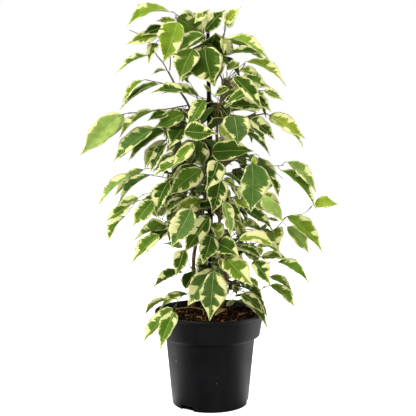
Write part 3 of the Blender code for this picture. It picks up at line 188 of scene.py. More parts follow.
# Each shoot: the stem that it grows from, its twigs as (column, row, depth) courses, and its
# leaves. The first twig starts on the stem and any other starts on the first. A leaf is its
# base's column and row, its tip's, its seen width in pixels, its tone, its share of cream and
# its lift, with what differs from LEAF_AS_A_RULE.
SHOOTS = {
    "crown_left": (
        "stem_centre", [[(204, 46, -5), (193, 28, 10), (180, 17, 20), (172, 11.5, 24)]],
        (169.4, 11.8, 126.1, 27.3, 8, BRIGHT, 0.2, 2, dict(arch=0.14, wide=1.4)),
        (174.9, 21, 155.1, 21.5, 6, BRIGHT, 0.6, 6),
        (177.7, 22.1, 163.1, 63.4, 25, BRIGHT, 0.25, 16),
        (165, 28, 140, 36, 9, DARK, 0.15, -10),
        (176, 18, 201, 33, 17, MID, 0.35, -14, dict(wide=1.35, long=1.15)),
        (192, 15, 182.6, 9.5, 5, DARK, 0.6, -4),
    ),
    "crown_top": (
        "stem_centre", [[(203.6, 35, -4), (204, 20, 2), (204.4, 12, 3)]],
        (204.5, 17, 210, 8.6, 7, PALE, 0.8, -2),
        (203, 14.5, 194, 24, 8, PALE, 0.8, 6, dict(wide=1.2)),
        (205.3, 31.6, 225.7, 9.5, 12, DARK, 0.3, -6, dict(wide=1.4, forward=16)),
    ),
    "crown_front": (
        "stem_centre", [[(208, 66, -8), (206, 54, 20), (202, 44, 34)]],
        (205, 47.6, 214.5, 86, 29, DARK, 0.16, 12, dict(wide=1.2)),
        (193.5, 48.8, 179.8, 81.5, 20, MID, 0.2, 4, dict(wide=1.12, forward=4)),
        (205, 35, 170, 56, 10, MID, 0.25, -8, dict(wide=1.25)),
        (216, 33, 209, 50, 18, DARK, 0.3, -16, dict(wide=2.2, long=1.15, forward=24)),
    ),
    "crown_right": (
        "stem_centre", [[(209, 72, -10), (218, 53, 10), (223, 40, 18), (226, 27, 20)]],
        (226, 22, 241.8, 6.3, 11, LIME, 0.7, 0),
        (222.5, 38, 224, 54, 7, LIME, 0.6, -6),
        (223.8, 39.5, 271, 63.8, 9, BRIGHT, 0.4, 6, dict(arch=0.16)),
        (228.9, 53.9, 264, 55, 7, DARK, 0.3, -8),
    ),
    "upper_right": (
        "stem_right",
        [[(223, 88, 0), (229, 80, 8), (235, 76.3, 16), (240.2, 71, 22), (245.5, 63.5, 26)]],
        (246.8, 61.5, 286.3, 87.4, 9, BRIGHT, 0.45, 3, dict(arch=0.12)),
        (239, 70, 262, 76.5, 10, PALE, 0.85, -8),
        (240.2, 78.6, 271.2, 88, 14, MID, 0.5, 0),
        (227, 70, 237, 64, 6, PALE, 0.3, -14, dict(wide=1.6, long=1.3)),
    ),
    "right_arch": (
        "stem_right",
        [[(219, 104, 0), (230, 84, 34), (243, 83, 46), (254, 91, 48), (261, 103, 46)]],
        (232.7, 76.6, 263.1, 111.3, 14, DARK, 0.4, 12),
        (252, 90, 223.5, 107, 10, MID, 0.5, -8),
        (255, 95, 271.8, 112.8, 8, DARK, 0.3, -4),
        (262, 108, 223.5, 108, 12, DARK, 0.35, -18, dict(arch=0.14)),
        (263.5, 90.5, 283.2, 101.2, 8, GREY, 0.6, -2),
    ),
    "right_high": (
        "stem_right", [[(217.2, 130, 0), (234, 120, 16), (250, 116.5, 24), (268, 113.5, 28)]],
        (271.2, 115.7, 305.4, 138.8, 14, LIME, 0.35, 3),
        (284, 126, 303.3, 147.9, 5, PALE, 0.8, -14),
        (250.5, 118.8, 275.5, 140.6, 10, DARK, 0.5, 6, dict(wide=1.2)),
        (250, 126, 266, 144.6, 6, DARK, 0.5, -6),
        (242, 132, 270.6, 156.7, 5, DARK, 0.2, -12),
        (230, 112, 258, 112.8, 5, DARK, 0.1, -16),
    ),
    "front_high": (
        "stem_right", [[(217.2, 116, 0), (222, 101, 38), (230, 108, 70)]],
        (233.9, 115.9, 238.2, 146.9, 26, COOL, 0.15, 10),
        (219, 125, 234, 145, 12, LIME, 0.5, -14),
        (228, 87.8, 213, 97, 8, DARK, 0.35, -4),
        (209.5, 91.2, 203, 83.5, 4, DARK, 0.1, -6),
    ),
    "left_top": (
        "stem_left", [[(168.6, 72, 0), (155, 58, 6), (144.4, 39.6, 10), (129.2, 30.1, 12)]],
        (147.9, 55.4, 116.3, 73.5, 6, GREY, 0.3, 4),
        (166, 70.3, 151.3, 74.6, 3, GREY, 0.2, -6, dict(face=UNDER)),
    ),
    "left_crown": (
        "stem_left", [[(170, 74, 0), (170.4, 57.4, -6), (166, 44, -4), (160.5, 35, 0)]],
        (158, 36, 125.5, 44.2, 10, PALE, 0.6, 2),
        (156, 43, 148.5, 63.7, 10, DARK, 0.35, 4),
    ),
    "upper_left": (
        "stem_left", [[(177, 88, 0), (161, 83, 10), (146, 80, 16)]],
        (142.5, 80.5, 122, 103.3, 7, BRIGHT, 0.35, 0),
        (159, 84, 118.8, 110.8, 5, MID, 0.3, 6),
    ),
    "left_high": (
        "stem_left",
        [[(189, 106, 0), (178, 107, 14), (168, 109, 24), (153, 110.5, 32), (128, 113.6, 38)]],
        (183.6, 113.6, 153.8, 128, 12, MID, 0.15, 8, dict(wide=1.3)),
        (181, 113, 175, 108.5, 6, DARK, 0.2, -6),
        (169, 114, 147.5, 121, 7, DARK, 0.35, -2, dict(wide=1.4)),
        (153.3, 111, 119.4, 138.3, 7, GREY, 0.5, 4, dict(wide=1.6)),
        (120.5, 115.4, 80.3, 155.5, 21, SUNLIT, 0.1, 0),
    ),
    "front_left_high": (
        "stem_left", [[(196, 123, -3), (200, 107, 30), (197, 97, 46)]],
        (193, 96, 149.5, 93.5, 10, DARK, 0.35, 4, dict(arch=0.12)),
        (203.7, 100.4, 186.8, 127, 15, MID, 0.3, 8),
        (188, 80.5, 182, 78, 6, DARK, 0.3, -10),
    ),
    "left_mid": (
        "stem_left", [[(203, 131, -8), (186, 126, 14), (168, 128, 28), (156, 128, 34)]],
        (152.7, 129.7, 113, 163, 14, COOL, 0.5, 8, dict(wide=1.1)),
        (165, 131, 127.5, 162, 9, DARK, 0.3, -8, dict(wide=1.25)),
        (184, 127, 170, 146.5, 19, DARK, 0.35, -4, dict(wide=1.15, long=1.1)),
        (165, 141.5, 144.2, 171.2, 8, BRIGHT, 0.6, -4, dict(wide=1.25)),
        (165.8, 145.2, 150.6, 173, 9, DARK, 0.4, 6, dict(wide=1.2)),
        (173, 146, 166, 153, 7, MID, 0.5, -10),
    ),
    "front_mid_left": (
        "stem_left", [[(205, 144, -11), (194, 135, 40), (186, 131, 54)]],
        (184, 131, 216.5, 133.5, 13, DARK, 0.3, 8, dict(wide=1.35, long=1.06, forward=10)),
        (193.4, 142.3, 172.4, 168.7, 14, BRIGHT, 0.45, 6, dict(wide=0.85, long=1.08, forward=16)),
        (199, 141, 202.8, 167, 20, DARK, 0.15, -18, dict(wide=1.8)),
    ),
    "centre_left": (
        "stem_left", [[(205.3, 166, -13), (201, 162, 34), (194, 157, 50)]],
        (186.7, 157.5, 151.7, 178.1, 10, MID, 0.45, 0),
        (201.7, 168.9, 167.8, 197, 18, MID, 0.25, 16, dict(wide=1.1)),
        (211.5, 152.1, 254.5, 151.2, 20, DARK, 0.12, -6),
    ),
    "left_outer": (
        "stem_left",
        [[(205, 188, -18), (188, 180, 16), (170.5, 178.5, 32), (151, 175, 40), (137, 173.5, 42)]],
        (132.5, 174.7, 98, 205.7, 8, FRESH, 0.4, 0, dict(wide=1.1)),
        (149.7, 175.3, 117.6, 206.3, 6, COOL, 0.2, -6, dict(wide=1.25)),
        (168.1, 182.1, 156.3, 216.6, 12, DARK, 0.5, 6, dict(wide=1.3)),
        (200, 196, 190, 186, 8, GREY, 0.3, -8, dict(face=UNDER)),
    ),
    "left_low_mid": (
        "stem_left",
        [[(203.5, 208, -23), (188, 197, 20), (168, 196, 36), (150, 198, 44), (134, 202, 46)]],
        (199.9, 201.7, 173.5, 212, 12, PALE, 0.75, 10, dict(wide=1.3, long=1.05)),
        (183, 198, 164, 213, 9, DARK, 0.4, -12),
        (157, 196, 141, 203, 6, DARK, 0.3, -8),
        (153.1, 200.5, 132.2, 227.5, 16, MID, 0.35, 8),
        (130.2, 205.1, 104.1, 223.5, 10, MID, 0.45, -2),
        (125.6, 216, 107.8, 243.5, 6, MID, 0.6, -10, dict(wide=1.4)),
    ),
    "left_low": (
        "stem_left", [[(198, 234, -31), (184, 233, 14), (169.2, 223.2, 32), (158, 217, 36)]],
        (150, 206, 157, 218, 6, GREY, 0.3, 0, dict(face=UNDER)),
        (167, 207, 157, 216, 8, GREY, 0.4, -4, dict(face=UNDER)),
        (167.5, 226.3, 133.1, 241.8, 7, MID, 0.4, -4, dict(wide=1.5)),
        (159.5, 234.4, 130.8, 265.4, 12, MID, 0.4, 10),
        (167.5, 229.2, 146, 255.6, 9, DARK, 0.35, -2, dict(wide=1.25)),
        (182.7, 247, 162.3, 243.5, 6, GREY, 0.3, -14, dict(face=UNDER)),
    ),
    "front_low_left": (
        "stem_left", [[(202, 216, -25), (202, 209, 40), (195, 206, 60)]],
        (191.3, 209.1, 170.7, 248.7, 22, COOL, 0.22, 12, dict(wide=1.05)),
        (209.7, 215.4, 182.7, 254.4, 16, DARK, 0.45, -14),
    ),
    "low_left": (
        "stem_left", [[(194, 262, -39), (191, 268, 0), (187, 256, 30)]],
        (184.4, 249.9, 175.8, 276.8, 12, DARK, 0.4, 0, dict(wide=1.25)),
        (183, 272.2, 152.3, 288.6, 7, DARK, 0.3, 0, dict(wide=1.4)),
    ),
    "front_centre": (
        "stem_right", [[(217.6, 182, 0), (219, 172, 44), (217.5, 162, 64)]],
        (218, 161.5, 205.1, 190.2, 19, DARK, 0.4, 10),
        (220.6, 178.1, 211.5, 214, 20, DARK, 0.2, 4),
        (224, 178, 236, 189, 7, LIME, 0.5, -20),
        (226, 191, 230, 200.5, 7, PALE, 0.7, 12),
        (236, 187, 240, 201, 8, PALE, 0.7, 14),
    ),
    "front_right": (
        "stem_right", [[(217.3, 168, 0), (236, 160, 46), (249, 159, 78)]],
        (251.6, 163.2, 250.5, 213, 29, COOL, 0.17, 6),
        (251.9, 162.3, 253, 155.5, 7, LIME, 0.2, -4),
        (268.6, 176.4, 278.9, 199, 7, DARK, 0.3, -24),
    ),
    "right_outer": (
        "stem_right",
        [[(217.4, 176, 0), (240, 170, 16), (262.8, 166.6, 28),
          (284, 165.5, 34)], [(268, 166.5, 29), (274, 171, 32), (282.9, 178.7, 36)]],
        (287, 162, 316.5, 193, 12, FRESH, 0.22, -8),
        (280.7, 170.1, 316.3, 210.6, 9, MID, 0.4, 8),
    ),
    "right_mid": (
        "stem_right", [[(219, 216, -3), (238, 204, 22), (254, 198, 34)]],
        (263.4, 193, 281.5, 204.5, 9, PALE, 0.8, -6),
        (262, 198, 284, 223, 14, SUNLIT, 0.3, 6, dict(wide=1.0)),
        (245.6, 211, 273.7, 232.7, 8, DARK, 0.4, 14, dict(wide=1.2)),
        (240, 199, 252, 210, 12, PALE, 0.6, -10, dict(wide=1.2)),
        (226.6, 200.5, 242.7, 224.1, 10, DARK, 0.3, -8, dict(wide=1.2)),
    ),
    "right_far": (
        "stem_right",
        [[(220, 234, -4), (245, 229, 8), (272, 231, 18), (286.9, 216.6, 24), (303, 214, 26),
          (312, 206.5, 26)]],
        (314.5, 204.2, 339.5, 204.5, 11, LIME, 0.1, 0, dict(wide=1.1)),
        (287, 217, 322.5, 253, 14, BRIGHT, 0.4, 2, dict(wide=1.05)),
        (287, 226.5, 309.3, 254, 13, FRESH, 0.15, 12, dict(wide=1.1)),
        (265, 219.5, 280, 222, 4, GREY, 0.4, -8, dict(face=UNDER)),
        (274, 230, 278.2, 249, 15, PALE, 0.8, -8, dict(wide=1.25, long=1.1)),
    ),
    "front_centre_low": (
        "stem_right", [[(219.3, 222, -3), (221, 208, 40), (223, 199, 56)]],
        (223.2, 201.1, 231, 238, 12, GREY, 0.4, 8, dict(face=UNDER)),
        (236, 221, 243, 240, 9, PALE, 0.7, -24),
    ),
    "low_right": (
        "stem_right",
        [[(222, 254, -5), (232, 246, 28), (240, 243, 46), (256, 244, 54)], [(250, 243, 51),
          (258, 254, 52), (270, 264, 52)]],
        (238, 240, 269, 247, 10, PALE, 0.5, 14, dict(arch=0.22, wide=1.3, long=1.25)),
        (262, 243, 284, 261, 5, BRIGHT, 0.7, -4),
        (254, 243, 248, 254, 7, PALE, 0.8, -16),
        (256, 247, 262, 255, 7, PALE, 0.8, -16),
        (239.3, 247.4, 262.9, 260.8, 7, DARK, 0.45, 4),
        (261, 257, 291, 260, 8, PALE, 0.6, -8),
        (277, 262.1, 310.2, 284.8, 7, MID, 0.2, 2, dict(wide=1.3)),
        (253.4, 260.8, 269.3, 283.8, 12, DARK, 0.4, 12, dict(wide=1.3, long=1.1)),
    ),
    "low_centre": (
        "stem_right", [[(225, 288, -12), (227, 268, 30), (222, 255, 46)]],
        (225.9, 257.6, 247, 280, 17, BRIGHT, 0.45, 16, dict(wide=1.3, long=1.3)),
        (219, 258, 224, 272, 8, PALE, 0.6, -16),
        (225.9, 271.7, 246.7, 287.3, 5, DARK, 0.3, 6),
        (248.9, 277.4, 258.8, 289.5, 5, MID, 0.5, -4),
        (218.9, 244.7, 237, 256.5, 16, DARK, 0.35, -6, dict(wide=1.2, long=1.15)),
        (211, 236, 202, 265, 18, DARK, 0.4, -2),
        (218, 239, 214, 222, 13, PALE, 0.85, -20),
    ),
    "low_front": (
        "stem_left", [[(193.7, 288, -46), (200, 278, 30), (209, 268, 68)]],
        (212.5, 268.5, 187.5, 306, 19, COOL, 0.5, -4, dict(wide=1.4)),
        (213.7, 271.1, 209.5, 321.3, 25, COOL, 0.32, 12),
        (200, 290, 194, 301.5, 7, DARK, 0.3, -26),
    ),
    "rim_left": (
        "stem_left", [[(193.7, 302, -49), (188, 293, -10), (180, 298, 30), (176, 303, 46)]],
        (173.6, 308.1, 142.1, 344.9, 12, MID, 0.45, 4, dict(reach=10)),
        (174.8, 312.1, 160.4, 350, 18, MID, 0.5, 16, dict(reach=22, wide=0.85)),
        (188, 295, 158, 312, 9, MID, 0.5, 4, dict(arch=0.2)),
        (165.6, 298.4, 143.2, 316.7, 6, GREY, 0.3, -14, dict(face=UNDER)),
    ),
    "rim_right": (
        "stem_right",
        [[(223, 299, -17), (229, 290, 12), (241, 291, 34), (253.4, 292.5, 42), (266, 286.5, 44)]],
        (269.3, 285.1, 295.5, 308, 10, MID, 0.4, 2, dict(wide=1.1)),
        (240.8, 293.7, 263, 314, 10, DARK, 0.2, 2, dict(wide=1.2)),
        (232, 302, 267.6, 329, 9, DARK, 0.3, 24, dict(arch=0.2, reach=20, wide=1.25)),
        (235, 300, 226, 306, 5, GREY, 0.3, 0, dict(face=UNDER)),
    ),
}

# All front shoots but these have a like shoot on the far side, without its narrow leaves
FRONT_ONLY = (
    "crown_left", "crown_top", "upper_right", "left_top", "left_crown", "upper_left",
    "low_left", "right_outer", "right_far", "rim_left",
)
FAR_SEED = 11
FAR_TURN = math.radians(16)
FAR_SHARE = 0.95
FAR_LEAST_DEPTH = 0.45

# Ways in which a leaf and a twig give way, in millimetres and degrees
LIFTS = (0, 4, -4, 8, -8, 13, -13, 19, -19, 26, -26, -36, -48)
SWINGS = (0, 7, -7, 14, -14, 22, -22, 31, -31)
ROLLS = (0, 16, -16, 34, -34)
TWIG_SHIFTS = (0, 2.5, -2.5, 5, -5, 8, -8, 12, -12)
SWING_COST = 0.7
ROLL_COST = 0.25


def square_to(vector, along):
    """The vector's part that is square to the unit vector along."""
    return vector - along * vector.dot(along)


def seen_at(column, row, depth):
    """The point that the eye sees at this pixel, depth millimetres in front of the stems."""
    ray = AHEAD + Vector((1, 0, 0)) * (column - PICTURE_MIDDLE) / LENS
    ray += UPWARD * (PICTURE_MIDDLE - row) / LENS
    return EYE + ray * ((-depth * MM - EYE.y) / ray.y)


def smooth(points, steps=4):
    """A Catmull-Rom curve through the points, with this many steps in each span."""
    points = [Vector(p) for p in points]
    padded = [points[0] * 2 - points[1], *points, points[-1] * 2 - points[-2]]
    found = []
    for a, b, c, d in zip(padded, padded[1:], padded[2:], padded[3:]):
        for step in range(steps):
            t = step / steps
            found.append(
                0.5 * (2 * b + (c - a) * t + (2 * a - 5 * b + 4 * c - d) * t**2
                       + (3 * b - a - 3 * c + d) * t**3)
            )
    return [*found, points[-1]]


def arc(start, bend, end, steps):
    """A quadratic curve's points from start to end, drawn towards the bend."""
    shares = [step / steps for step in range(steps + 1)]
    return [start * (1 - t) ** 2 + bend * 2 * t * (1 - t) + end * t**2 for t in shares]


def nearest_in_picture(course, column, row):
    """The course's point that is nearest to the pixel."""
    return min(course, key=lambda p: (p.x - column) ** 2 + (p.y - row) ** 2)


def tapered(start, end, count):
    """Numbers that run evenly from start to end."""
    return [start + (end - start) * i / (count - 1) for i in range(count)]


def limb(points, radii, ages):
    """A course of wood whose radii and ages run evenly between their two ends."""
    return points, tapered(*radii, len(points)), tapered(*ages, len(points))


def stem_path(name):
    """A stem's points and radii, from its buried foot to its upper end."""
    course, foot_radius, end_radius = STEMS[name]
    points = [seen_at(*place) for place in smooth(course, 2)]
    points = [points[0] - Vector((0, 0, BURIED)), *points]
    return points, tapered(foot_radius, end_radius, len(points))


def plan_leaf(row, courses):
    """A leaf in space: blade ends, upper normal, width and arch, from how it is seen."""
    base_pixel, tip_pixel, (seen, tone, cream, lift) = row[:2], row[2:4], row[4:8]
    look = {**LEAF_AS_A_RULE, **(row[8] if len(row) > 8 else {})}
    depth = nearest_in_picture(sum(courses, []), *base_pixel).z + lift
    base = seen_at(*base_pixel, depth)
    flat = (seen_at(*tip_pixel, depth) - base).length
    seen_width = seen * (base - EYE).length / LENS
    wanted = min(LONGEST_FORESHORTENED, YOUNG_BLADE_RATIO * seen_width)
    reach = look["reach"]
    if reach is None:
        outward = 1 if lift > INWARD_LIFT else -1
        reach = outward / MM * max(LEAST_REACH * flat, math.sqrt(max(0, wanted**2 - flat**2)))
    tip = seen_at(*tip_pixel, depth + reach)
    along = (tip - base).normalized()
    to_eye = square_to((EYE - base).normalized(), along).normalized()
    side = along.cross(to_eye)
    if side.dot(Vector((SIDE_FAVOUR * math.copysign(1, base.x), 0, 1))) < 0:
        side.negate()
    width = max(seen_width * WIDTH_ALLOWANCE, BLADE_RATIO * (tip - base).length)
    roll = math.acos(min(FULL_FACE, seen_width / width))
    return {
        **look, "base": base, "tip": tip, "width": width, "tone": tone, "cream": cream,
        "normal": to_eye * math.cos(roll) * look["face"] + side * math.sin(roll),
        "narrow": seen < NARROW,
        "stations": BLADE_STATIONS if seen > NARROW else COARSE_STATIONS,
    }


def plan_shoot(name):
    """A shoot's twigs and leaves as they are seen from the front."""
    stem, twigs, *leaves = SHOOTS[name]
    courses = []
    for first, *others in twigs:
        parent = courses[0] if courses else smooth(STEMS[stem][0], STEM_SEARCH_STEPS)
        courses.append(smooth([nearest_in_picture(parent, *first[:2]), *others]))
    return {
        "name": name,
        "stem": stem,
        "twigs": [[seen_at(*place) for place in course[::2]] for course in courses],
        "leaves": [plan_leaf(row, courses) for row in leaves],
    }


def far_shoot(plan, rng):
    """The like shoot on the far side: mirrored in depth and turned a little about its root."""
    root = plan["twigs"][0][0]
    front = min(min(item["base"].y, item["tip"].y) for item in plan["leaves"])
    share = (-FAR_SHARE * front - root.y) / (root.y - front)
    share = max(FAR_LEAST_DEPTH, min(1, share))
    turn = Matrix.Rotation(rng.uniform(-FAR_TURN, FAR_TURN), 4, "Z")
    flip = Matrix.Diagonal((1, -share, 1, 1))
    about = Matrix.Translation(root) @ turn @ flip @ Matrix.Translation(-root)
    leaves = []
    for item in plan["leaves"]:
        if item["narrow"]:
            continue
        base, tip = about @ item["base"], about @ item["tip"]
        x, y, z = item["normal"]
        normal = square_to(turn.to_3x3() @ Vector((x, -y, z)), (tip - base).normalized())
        leaves.append({
            **item, "base": base, "tip": tip, "normal": normal.normalized(),
            "stations": COARSE_STATIONS, "forward": 0,
        })
    return {
        "name": f"back_{plan['name']}",
        "stem": plan["stem"],
        "twigs": [[about @ point for point in twig] for twig in plan["twigs"]],
        "leaves": leaves,
    }


def stem_clearance(point, along, stem_points, stem_radii):
    """How far a twig's end at the point, running along, stands from the stem's bark."""
    nearest, axis, bark, at_end = None, None, 0, False
    for index, (a, b) in enumerate(zip(stem_points, stem_points[1:])):
        share = max(0, min(1, intersect_point_line(point, a, b)[1]))
        distance = (point - a.lerp(b, share)).length
        if nearest is None or distance < nearest:
            nearest, axis, bark = distance, (b - a).normalized(), stem_radii[index]
            at_end = share == 1 and index == len(stem_points) - 2
    lean = abs(axis.dot(along))
    if at_end:
        return nearest - TWIG_ROOT_RADIUS * math.sqrt(1 - lean**2)
    return nearest - bark - TWIG_ROOT_RADIUS * lean


def trim_to_stem(twig, stem_points, stem_radii):
    """The twig from where it leaves its stem's bark by the gap."""
    for index, (start, end) in enumerate(zip(twig, twig[1:])):
        span = end - start
        steps = max(1, int(span.length / TRIM_STEP))
        for step in range(steps):
            point = start + span * step / steps
            if stem_clearance(point, span.normalized(), stem_points, stem_radii) > GAP:
                return [point, *twig[index + 1:]]
    return twig


def bent(plan, lift, swing, roll):
    """The leaf moved along the line of sight by lift, its tip also by swing, and rolled."""
    base, tip = plan["base"], plan["tip"]
    base = base + (EYE - base).normalized() * lift * MM
    tip = tip + (EYE - tip).normalized() * (lift + swing) * MM
    along = (tip - base).normalized()
    normal = square_to(plan["normal"], along).normalized()
    normal = Matrix.Rotation(math.radians(roll), 3, along) @ normal
    return {**plan, "base": base, "tip": tip, "normal": normal}


def ways_to_bend():
    """Every mix of lift, swing and roll, the smallest first."""
    ways = [(lift, swing, roll) for lift in LIFTS for swing in SWINGS for roll in ROLLS]
    return sorted(
        ways, key=lambda way: abs(way[0]) + SWING_COST * abs(way[1]) + ROLL_COST * abs(way[2])
    )


def choose_root(twigs, plan):
    """Where the petiole leaves the twig: near its usual length and not bent back sharply."""
    along = (plan["tip"] - plan["base"]).normalized()

    def cost(point):
        petiole = plan["base"] - point
        bend = 1 - petiole.normalized().dot(along)
        return abs(petiole.length - PETIOLE_LENGTH) + PETIOLE_BEND_COST * bend

    spans = [span for twig in twigs for span in zip(twig, twig[1:])]
    return min((a.lerp(b, share) for a, b in spans for share in PETIOLE_PLACES), key=cost)


def corners_of(node):
    """A search tree of the corners of a node of the frame."""
    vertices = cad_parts[node].data.vertices
    tree = KDTree(len(vertices))
    for index, vertex in enumerate(vertices):
        tree.insert(vertex.co, index)
    tree.balance()
    return tree


def blade_half_width(t):
    """Half the frame blade's width at t, as a share of its full width."""
    body = math.sin(math.pi * t**BLADE_SKEW) ** BLADE_FULLNESS
    narrowing = min(1, max(0, (t - TIP_START) / TIP_SPAN))
    return 0.5 * body * (1 - TIP_NARROWING * narrowing)


def midrib_at(plan, t):
    """The point of a leaf's arched midrib at t."""
    length = (plan["tip"] - plan["base"]).length
    along = (plan["tip"] - plan["base"]).normalized()
    middle = plan["base"] + along * length * t
    return middle + plan["normal"] * plan["arch"] * length * 4 * t * (1 - t)


def edge_corners(plan):
    """The corners on the two edges of the frame's blade."""
    side = (plan["tip"] - plan["base"]).normalized().cross(plan["normal"])
    found = []
    for ring, t in enumerate(plan["stations"], FIRST_RING):
        half = plan["width"] * blade_half_width(t)
        for across in (-1, 1):
            wave = BLADE_WAVE * math.sin(BLADE_WAVE_TURN * ring + plan["phase"] + across)
            rise = half * math.sin(BLADE_FOLD) + wave
            sideways = side * across * half * math.cos(BLADE_FOLD)
            found.append(midrib_at(plan, t) + sideways + plan["normal"] * rise)
    return found


def leaf_in_frame(plan, corners, ways):
    """The leaf as it is bent in the frame, or None where the frame hasn't got it."""
    for way in ways:
        trial = bent(plan, *way)
        if corners.find(trial["tip"])[2] > FIT:
            continue
        edges = edge_corners(trial)
        if sum(corners.find(place)[2] < FIT for place in edges) > len(edges) / 2:
            return trial
    return None


def twig_in_frame(twig, corners):
    """The twig as it is bent in the frame."""
    ahead = (twig[-1] - twig[0]).normalized()
    across = ahead.cross(Vector((0, 0, 1))).normalized()
    upward = across.cross(ahead)
    last = len(twig) - 1
    weights = [
        math.sin(math.pi * (step / last) ** TWIG_BEND_NEAR_ROOT) for step in range(len(twig))
    ]
    radii = tapered(TWIG_ROOT_RADIUS, TWIG_END_RADIUS, len(twig))
    trials = []
    for a in TWIG_SHIFTS:
        for b in TWIG_SHIFTS:
            shift = across * (a * MM) + upward * (b * MM)
            trials.append([point + shift * weight for point, weight in zip(twig, weights)])
    return min(
        trials,
        key=lambda trial: sum(abs(corners.find(p)[2] - r) for p, r in zip(trial, radii)),
    )


def finished(plan):
    """The frame's leaf as its finished blade stands: longer, wider and further forward."""
    base, tip = plan["base"], plan["tip"]
    forward = (EYE - base).normalized() * plan["forward"] * MM
    return {
        **plan, "base": base + forward, "tip": base + (tip - base) * plan["long"] + forward,
        "width": plan["width"] * plan["wide"],
    }


def plan_plant():
    """Every shoot, with its twigs and leaves as they stand in the frame."""
    rng = random.Random(FAR_SEED)
    shoots = [plan_shoot(name) for name in SHOOTS]
    shoots += [far_shoot(shoot, rng) for shoot in shoots if shoot["name"] not in FRONT_ONLY]
    ways = ways_to_bend()
    rng = random.Random(FAR_SEED)
    for shoot in shoots:
        corners = corners_of(f"shoot_{shoot['name']}")
        shoot["twigs"][0] = trim_to_stem(shoot["twigs"][0], *stem_path(shoot["stem"]))
        shoot["twigs"] = [twig_in_frame(twig, corners) for twig in shoot["twigs"]]
        found = []
        for item in shoot["leaves"]:
            item["phase"] = rng.uniform(0, math.tau)
            stands = leaf_in_frame(item, corners, ways)
            if stands:
                stands["root"] = choose_root(shoot["twigs"], stands)
                found.append(finished(stands))
        shoot["leaves"] = found
    return shoots


class Value:
    """A node's output, which takes part in sums as a number does."""

    def __init__(self, nodes, socket):
        self.nodes, self.socket = nodes, socket

    def maths(self, operation, second=0.0):
        return self.nodes.add("ShaderNodeMath", {"operation": operation}, i0=self, i1=second)

    def __add__(self, other):
        return self.maths("ADD", other)

    def __sub__(self, other):
        return self.maths("SUBTRACT", other)

    def __mul__(self, other):
        return self.maths("MULTIPLY", other)

    def __truediv__(self, other):
        return self.maths("DIVIDE", other)

    def __abs__(self):
        return self.maths("ABSOLUTE")

    def ramp(self, low, high, to_low=0.0, to_high=1.0):
        """The value run smoothly from low to high."""
        return self.nodes.add(
            "ShaderNodeMapRange", {"interpolation_type": "SMOOTHSTEP"},
            Value=self, From_Min=low, From_Max=high, To_Min=to_low, To_Max=to_high,
        )


class Nodes:
    """A node tree on its way."""

    def __init__(self, tree):
        self.tree = tree

    def link(self, socket, value):
        """Sets the input to the value, or links it where the value is a node's output."""
        if isinstance(value, Value):
            self.tree.links.new(value.socket, socket)
        elif socket.type == "RGBA" and len(value) == 3:
            socket.default_value = (*value, 1)
        else:
            socket.default_value = value

    def add(self, kind, settings=None, output=0, **inputs):
        """A new node's output. An input's key is its name, or i and its number."""
        node = self.tree.nodes.new(kind)
        for key, value in (settings or {}).items():
            setattr(node, key, value)
        for key, value in inputs.items():
            numbered = key[0] == "i" and key[1:].isdigit()
            self.link(node.inputs[int(key[1:]) if numbered else key.replace("_", " ")], value)
        return Value(self, node.outputs[output])

    def vector_maths(self, operation, first, output=0, **others):
        settings = {"operation": operation}
        return self.add("ShaderNodeVectorMath", settings, output, i0=first, **others)

    def vector(self, x, y, z):
        return self.add("ShaderNodeCombineXYZ", X=x, Y=y, Z=z)

    def parts(self, vector):
        """The vector's x, y and z."""
        first = self.add("ShaderNodeSeparateXYZ", Vector=vector)
        return [Value(self, socket) for socket in first.socket.node.outputs]

    def mixed(self, share, first, second):
        """The first colour with this share of the second in it."""
        return self.add("ShaderNodeMix", {"data_type": "RGBA"}, 2, i0=share, i6=first, i7=second)

    def grain(self, place, scale, detail=2.0, roughness=0.5, distortion=0.0):
        return self.add(
            "ShaderNodeTexNoise", Vector=place, Scale=scale, Detail=detail,
            Roughness=roughness, Distortion=distortion,
        )

    def attribute(self, name, output="Fac"):
        return self.add("ShaderNodeAttribute", {"attribute_name": name}, output)


class Paint(Nodes):
    """A Principled material on its way, with the place on the object that its patterns read."""

    def __init__(self, name, roughness, specular):
        self.material = bpy.data.materials.new(name)
        self.material.use_nodes = True
        super().__init__(self.material.node_tree)
        self.here = self.add("ShaderNodeTexCoord", output="Object")
        self.set(Roughness=roughness, Specular_IOR_Level=specular)

    def set(self, **inputs):
        for key, value in inputs.items():
            self.link(self.tree.nodes["Principled BSDF"].inputs[key.replace("_", " ")], value)

    def stretched(self, upwards):
        """The place, scaled by this much in height."""
        return self.add("ShaderNodeMapping", Vector=self.here, Scale=(1, 1, upwards))

    def dots(self, place, scale, low, high, to_low=0.0, to_high=1.0):
        """Small round spots: high within the distance high of a spot's middle."""
        cells = self.add("ShaderNodeTexVoronoi", output="Distance", Vector=place, Scale=scale)
        return cells.ramp(low, high, to_low, to_high)

    def done(self, colour, height, distance, strength):
        """The material with its colour and with its relief, this deep."""
        bump = self.add("ShaderNodeBump", Height=height, Distance=distance, Strength=strength)
        self.set(Base_Color=colour, Normal=bump)
        return self.material


